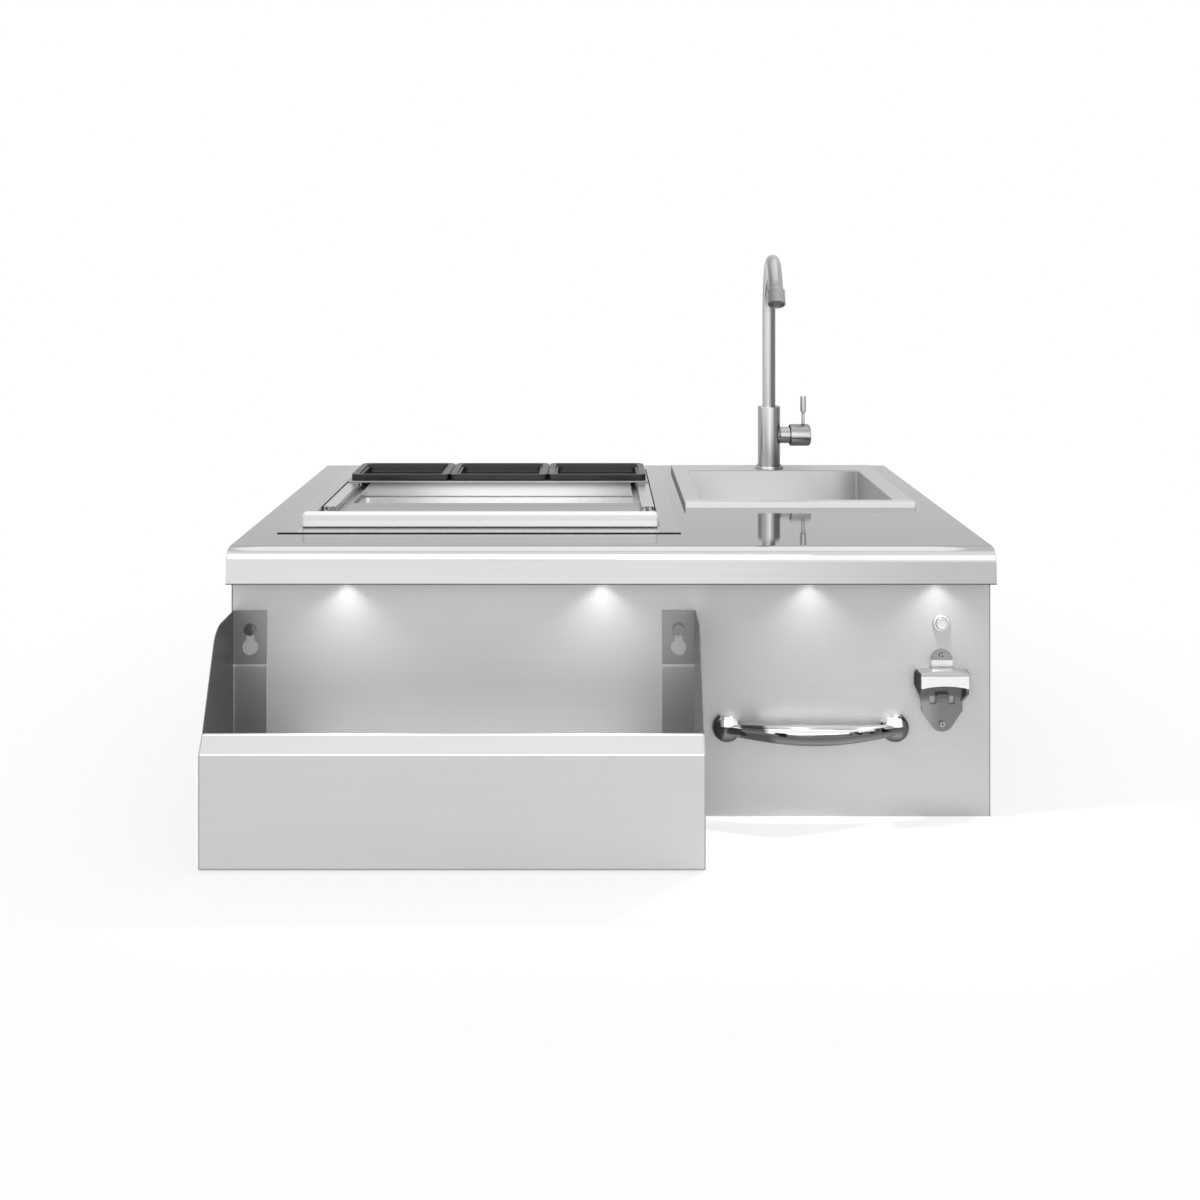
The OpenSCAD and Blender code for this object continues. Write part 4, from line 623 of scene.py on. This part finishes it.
# ---- Bottle rail ----
# The rail is a trough folded from brushed sheet between two end brackets of thicker sheet. The
# keyholes in the brackets hang on two polished studs in the front panel.
# The trough's greys are painted light: bright along its lip and top edge, greyer below the lip,
# on its floor and at its cut ends. A bracket's greys are painted too: dark above the slope, a
# bright highlight line there and lighter below, its side faces in dark painted shade.
rail_low, rail_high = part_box("rail_trough")
lip_z, floor_z = rail_high.z - 0.0221, rail_low.z + 0.0025
rail_steel = brushed("rail_steel", 204, 0.4, metallic=0.6, painted_zones=[
    (2, lip_z, lip_z + 0.0004, 246), (2, lip_z + 0.0018, lip_z + 0.0022, 196),
    (2, floor_z, floor_z - 0.0007, 160), (2, rail_high.z - 0.0014, rail_high.z - 0.001, 250),
    (0, rail_low.x + shaded_edge_start, rail_low.x + shaded_edge_end, 168),
    (0, rail_high.x - shaded_edge_start, rail_high.x - shaded_edge_end, 168)])
bracket_low, bracket_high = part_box("rail_bracket_left")
plate_y, right_side = bracket_high.y - 0.0043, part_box("rail_bracket_right")[1].x
bracket_steel = brushed("bracket_steel", 150, 0.36, along=2, metallic=0.75, painted_zones=[
    (2, 0.2145, 0.2135, 206), (2, 0.2112, 0.2095, 176), (2, 0.2, 0.12, 160),
    (1, plate_y, plate_y - 0.0006, 100), (0, right_side - 0.0019, right_side - 0.0015, 136),
    (0, bracket_low.x + 0.0004, bracket_low.x + 0.0002, 144)])
stud_steel = brushed("stud_steel", 130, 0.12, along=2, depth=0.05)
bright_steel = brushed("bright_steel", 205, 0.18, along=2, depth=0.05)
softened("rail_channel", "rail_trough", rail_steel, "bottle_rail", 0.35)
for side in ("left", "right"):
    softened(f"rail_end_{side}", f"rail_bracket_{side}", bracket_steel, "bottle_rail")
wear(stud_steel, "rail_studs")
wear(bright_steel, "handle_nuts", "button_nut")

# ---- Handle ----
# The bow handle is cast, polished and chromed. Nuts behind the front panel hold its two domed
# rosettes. Its greys by height are a painted reflection of the floor and the room.
rose_low, rose_high = span("handle_rosettes")
bow_x, _, bow_z = (rose_low + rose_high) / 2
panel_y, rose_radius = rose_high[1], (rose_high[2] - rose_low[2]) / 2
bow_reach, bow_ends, bow_swell = rose_high[0] - rose_radius - bow_x, 8, 5.5
axis_z, half_z = bow_z / 1000, (bow_ends + bow_swell) / 1000
chrome = Finish("chrome", (0.5, 0.505, 0.51), 0.05)
haze = chrome.noise((40, 40, 40), 3)
waver = chrome.noise((16, 16, 90), 2)
height = chrome.coordinate(2) + (waver - 0.5) * 0.004
reflection_greys = chrome.greys(chrome.past(height, axis_z - half_z, axis_z + half_z),
                     [(0, 92), (0.3, 128), (0.52, 104), (0.64, 96), (0.7, 60), (0.74, 236),
                      (1, 250)])
reflection_patch = chrome.past(chrome.noise((60, 60, 110), 1), 0.5, 0.53)
# Painted reflections: dark patches of the room in a band above the bow's middle, on two
# stretches of its length, and the wall of the rail beside the bow's left end.
band = (chrome.past(height, axis_z + 0.0027, axis_z + 0.0033)
        * chrome.past(height, axis_z + 0.0077, axis_z + 0.0069))
band = band * (chrome.ramp(0, 0.324, 0.33) * chrome.ramp(0, 0.392, 0.386)
               + chrome.ramp(0, 0.222, 0.226) * chrome.ramp(0, 0.243, 0.238))
bulge = chrome.coordinate(0) + (height - (axis_z + 0.004)) * 0.7
wall_reflection = chrome.past(bulge, 0.221, 0.212) * chrome.ramp(0, 0.176, 0.182)
tone = chrome.blend(wall_reflection, reflection_greys, shade(80))
# The outer sides of both rosettes are a darker grey, a painted reflection.
left_end, right_end = (bow_x - bow_reach) / 1000, (bow_x + bow_reach) / 1000
ends = (chrome.ramp(0, left_end - 0.0075, left_end - 0.011)
        + chrome.ramp(0, right_end + 0.0065, right_end + 0.0095))
tone = chrome.blend(ends, tone, shade(92))
chrome.set("Base Color", chrome.blend(reflection_patch * band, tone, shade(20)))
chrome.set("Roughness", haze * 0.05 + 0.03)
bow_u = np.linspace(-1, 1, 97)
bow_stand = 30 * (0.3 + 0.7 * (1 - bow_u ** 2))
bow_line = np.stack([bow_x + bow_u * bow_reach, panel_y - bow_stand, np.full(97, bow_z)], -1)
bow_radius = bow_ends + bow_swell * np.cos(bow_u * math.pi / 2) ** 1.5
bow_course = np.gradient(bow_line, axis=0)
bow_course /= np.linalg.norm(bow_course, axis=1)[:, None]
bow_out = np.cross(bow_course, [0, 0, 1])[:, None]
bow_a = np.linspace(0, 2 * math.pi, 72, endpoint=False)[None, :, None]
bow = bow_line[:, None] + bow_radius[:, None, None] * (
    np.cos(bow_a) * bow_out + np.sin(bow_a) * np.array([0, 0, 1]))
piece("handle_bow", [bow], chrome, "chrome", "cabinet", "handle_bar", capped=True)
rose_rim = panel_y - 2.4
dome_height = rose_rim - rose_low[1]
dome_turn = np.radians(np.linspace(0, 90, 24))
dome = [(0, panel_y), (rose_radius - 0.5, panel_y), (rose_radius, panel_y - 0.5),
        (rose_radius, rose_rim)]
dome += [(rose_radius * math.cos(a), rose_rim - dome_height * math.sin(a)) for a in dome_turn[1:]]
roses = [turned(dome, (x, 0, bow_z), 1) for x in (bow_x - bow_reach, bow_x + bow_reach)]
piece("handle_roses", roses, chrome, "chrome", "cabinet", "handle_rosettes")

# ---- Bottle opener and push button ----
# The opener is a polished casting on two cross-head screws. The button is turned from bright
# steel: a nut behind the panel holds its bezel, and the cap slides in it on a spring.
(opener_low, opener_high), (bezel_low, bezel_high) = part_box("bottle_opener"), span("button_bezel")
column_x, button_z = (opener_low.x + opener_high.x) / 2, (bezel_low[2] + bezel_high[2]) / 2000
# Painted light on the opener in bands by height: shade under the hood, a bright highlight across
opener_steel = brushed("opener_steel", 124, 0.22, depth=0.05, metallic=0.85, painted_zones=[
    # its front, a grey shoulder with a highlight above it, then the ear.
    (2, 0.164, 0.172, 98), (2, 0.1856, 0.1862, 240), (2, 0.2028, 0.2034, 172),
    (2, 0.211, 0.2125, 230), (2, 0.22, 0.2206, 152)])
# Painted shade on both cheeks, and a lighter painted sheen on the lower left of the plate.
cheek_shade = (opener_steel.ramp(0, opener_low.x + 0.0053, opener_low.x + 0.0049)
          + opener_steel.ramp(0, opener_high.x - 0.0053, opener_high.x - 0.0049))
cheek_shade = cheek_shade * opener_steel.ramp(2, 0.21, 0.205)
painted_sheen = opener_steel.ramp(0, 0.462, 0.436) * opener_steel.ramp(2, 0.166, 0.16)
tone = opener_steel.blend(cheek_shade, opener_steel.lead("Base Color"), shade(64))
opener_steel.set("Base Color", opener_steel.blend(painted_sheen * 0.6, tone, shade(168)))
softened("cap_opener", "bottle_opener", opener_steel, "cabinet", 0.9, 3)
screw_steel = brushed("screw_steel", 176, 0.2, depth=0.05)
low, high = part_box("opener_screws")
slot_half, slot_soft = 0.0004, 0.0002
# Painted shade: a dark cross in each screw head for its recess, and a darker ring round the head.
for screw_z in (low.z + 0.004, high.z - 0.004):
    slots = [screw_steel.ramp(axis, place - slot_half - slot_soft, place - slot_half)
             * screw_steel.ramp(axis, place + slot_half + slot_soft, place + slot_half)
             for axis, place in ((0, column_x), (2, screw_z))]
    distance = screw_steel.away((column_x, 0, screw_z))
    cross_slot_shade = slots[0].larger(slots[1]) * screw_steel.past(distance, 0.003, 0.0028)
    rim = screw_steel.past(distance, 0.0036, 0.0042) * screw_steel.past(distance, 0.012, 0.011)
    tone = screw_steel.blend(cross_slot_shade, screw_steel.lead("Base Color"), shade(58))
    screw_steel.set("Base Color", screw_steel.blend(rim, tone, shade(92)))
wear(screw_steel, "opener_screws")
button_steel = brushed("button_steel", 214, 0.32, depth=0.05, metallic=0.8)
distance = button_steel.away((column_x, 0, button_z))
# Painted shade: a darker ring in the gap round the cap, and the bezel's outer rim darker.
groove = button_steel.past(distance, 0.0072, 0.0076) * button_steel.past(distance, 0.0088, 0.0084)
tone = button_steel.blend(groove, button_steel.lead("Base Color"), shade(150))
edge = button_steel.past(distance, 0.0108, 0.0115)
button_steel.set("Base Color", button_steel.blend(edge, tone, shade(168)))
button_axis = (column_x * 1000, 0, button_z * 1000)
bezel_bore, bezel_radius, barrel_radius = 8.05, 12, 10.8
bezel_back, stop_y = bezel_high[1], -268
bezel_profile = eased([(bezel_bore, panel_y - 2), (9.3, panel_y - 2.2),
                       (bezel_radius, panel_y - 1.2), (bezel_radius, panel_y),
                       (barrel_radius, panel_y), (barrel_radius, bezel_back), (0, bezel_back),
                       (0, stop_y), (bezel_bore, stop_y), (bezel_bore, panel_y - 2)],
                      [0, 0.7, 1, 0.2, 0.1, 0.3, 0, 0, 0.2, 0])
piece("button_ring", [turned(bezel_profile, button_axis, 1)], button_steel, "button_metal",
      "cabinet", "button_bezel")
cap_front, cap_back = (corner[1] for corner in span("button_cap"))
cap_radius = 8
cap_profile = eased([(0, cap_front + 0.7), (5.6, cap_front + 0.5), (7.2, cap_front),
                     (cap_radius, cap_front + 0.8), (cap_radius, cap_back), (0, cap_back)],
                    [0, 2, 0.6, 0.6, 0.3, 0])
piece("button_face", [turned(cap_profile, button_axis, 1)], button_steel, "button_metal", "button",
      "button_cap")

# ---- Lamps ----
# Four small white lamps under the apron shine down the panel. Each has a frosted lens in a bright
# housing, and a driver box behind the panel feeds them.
lens_glow = Finish("lens_glow", (0.95, 0.95, 0.93), 0.3, 0.0, Emission_Strength=4.0)
frost = lens_glow.noise((700, 700, 700), 2)
lens_glow.set("Emission Color", lens_glow.blend(frost, (0.9, 0.95, 1.0), (1.0, 1.0, 1.0)))
wear(lens_glow, "lamp_lenses")
wear(bright_steel, "lamp_housings")
lens_low, lens_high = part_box("lamp_lenses")
lamp_y = (lens_low.y + lens_high.y) / 2
for number, lamp_x in enumerate((-0.3702, -0.0128, 0.2769, 0.4551)):
    glow = bpy.data.lights.new(f"lamp_glow_{number}", "SPOT")
    glow.energy, glow.spot_size, glow.spot_blend = 12.5, math.radians(128), 0.8
    glow.shadow_soft_size = 0.004
    glow.use_nodes = True
    glow_nodes = Nodes(glow.node_tree)
    falloff = glow_nodes.add("ShaderNodeLightFalloff", {}, {"Strength": 1.0, "Smooth": 0.0014},
                             "Linear")
    glow_nodes.join(glow.node_tree.nodes["Emission"].inputs["Strength"], falloff)
    shine = bpy.data.objects.new(f"lamp_shine_{number}", glow)
    shine.location = (lamp_x, lamp_y, lens_low.z - 0.001)
    shine.rotation_euler = (math.radians(8), 0, 0)
    bpy.context.scene.collection.objects.link(shine)

# ---- Grommet ----
# A moulded rubber grommet lines the hole in the back panel where the lamps' cable leaves. Its
# groove holds it on the edge of the sheet.
rubber = Finish("rubber", (0.015, 0.015, 0.015), 0.7, 0.0)
rubber.bump(rubber.noise((900, 900, 900), 2), 0.0001, 0.4)
wear(rubber, "cable_grommet")

# ---- Floor, surroundings and lamps of the studio ----
# A plain white floor that keeps the object's shadow, an even white surround and three large
# soft lights. What the camera and the metal see of both is close to plain white. Three weak
# lights stand for what the bin, the sink and the trough throw back at their own walls.
floor_paint = Finish("floor_paint", (0.9, 0.9, 0.9), 0.9, 0.0)
seen = floor_paint.seen()
away = floor_paint.vector("LENGTH", floor_paint.place)
far = floor_paint.past(away, 0.7, 1.3, "SMOOTHSTEP") * 0.25 + 0.75
plain = floor_paint.add("ShaderNodeEmission", {}, {"Color": (1, 1, 1, 1), "Strength": 1.0})
painted = Wire(floor_paint, floor_paint.shader.outputs[0])
floor_mix = floor_paint.add("ShaderNodeMixShader", {}, {0: seen * far, 1: painted, 2: plain})
floor_paint.join(floor_paint.tree.nodes["Material Output"].inputs["Surface"], floor_mix)
floor_side, floor_front, floor_back, floor_top = 1.9, -2.1, 1.5, -0.0005
floor_mesh = bpy.data.meshes.new("studio_floor")
floor_mesh.from_pydata([(-floor_side, floor_front, floor_top), (floor_side, floor_front, floor_top),
                        (floor_side, floor_back, floor_top), (-floor_side, floor_back, floor_top)],
                       [], [(0, 1, 2, 3)])
floor_mesh.materials.append(floor_paint.material)
studio_floor = bpy.data.objects.new("studio_floor", floor_mesh)
bpy.context.scene.collection.objects.link(studio_floor)

surround = bpy.data.worlds.new("surround")
surround.use_nodes = True
bpy.context.scene.world = surround
sky = Nodes(surround.node_tree)
backdrop = sky.tree.nodes["Background"]
sky.join(backdrop.inputs["Color"], (1, 1, 1, 1))
sky.join(backdrop.inputs["Strength"], sky.seen() * 0.2 + 0.8)

for title, place, aim, size, power in (
        ("key_light", (-0.7, -3.2, 1.9), (0, 0, 0.2), (3.2, 2.6), 22),
        ("fill_light", (1.3, -3.0, 1.3), (0.1, 0, 0.2), (2.8, 2.2), 9),
        ("top_light", (0.0, 0.6, 2.8), (0, 0, 0.3), (2.6, 2.6), 16),
        ("bin_bounce", (-0.1925, -0.06, 0.27), (-0.1925, 0.261, 0.345), (0.4, 0.12), 0.4),
        ("sink_bounce", (0.3, 0.01, 0.24), (0.3, 0.2, 0.33), (0.2, 0.08), 0.12),
        ("trough_bounce", (-0.205, -0.4, 0.06), (-0.205, -0.283, 0.13), (0.5, 0.06), 0.14)):
    softbox = bpy.data.lights.new(title, "AREA")
    softbox.shape, softbox.energy = "RECTANGLE", power
    softbox.size, softbox.size_y = size
    hung = bpy.data.objects.new(title, softbox)
    hung.location = place
    sight = [a - p for a, p in zip(aim, place)]
    hung.rotation_euler = (math.atan2(math.hypot(sight[0], sight[1]), -sight[2]), 0,
                           math.atan2(sight[1], sight[0]) - math.pi / 2)
    bpy.context.scene.collection.objects.link(hung)

bpy.context.scene.view_settings.view_transform = "Standard"
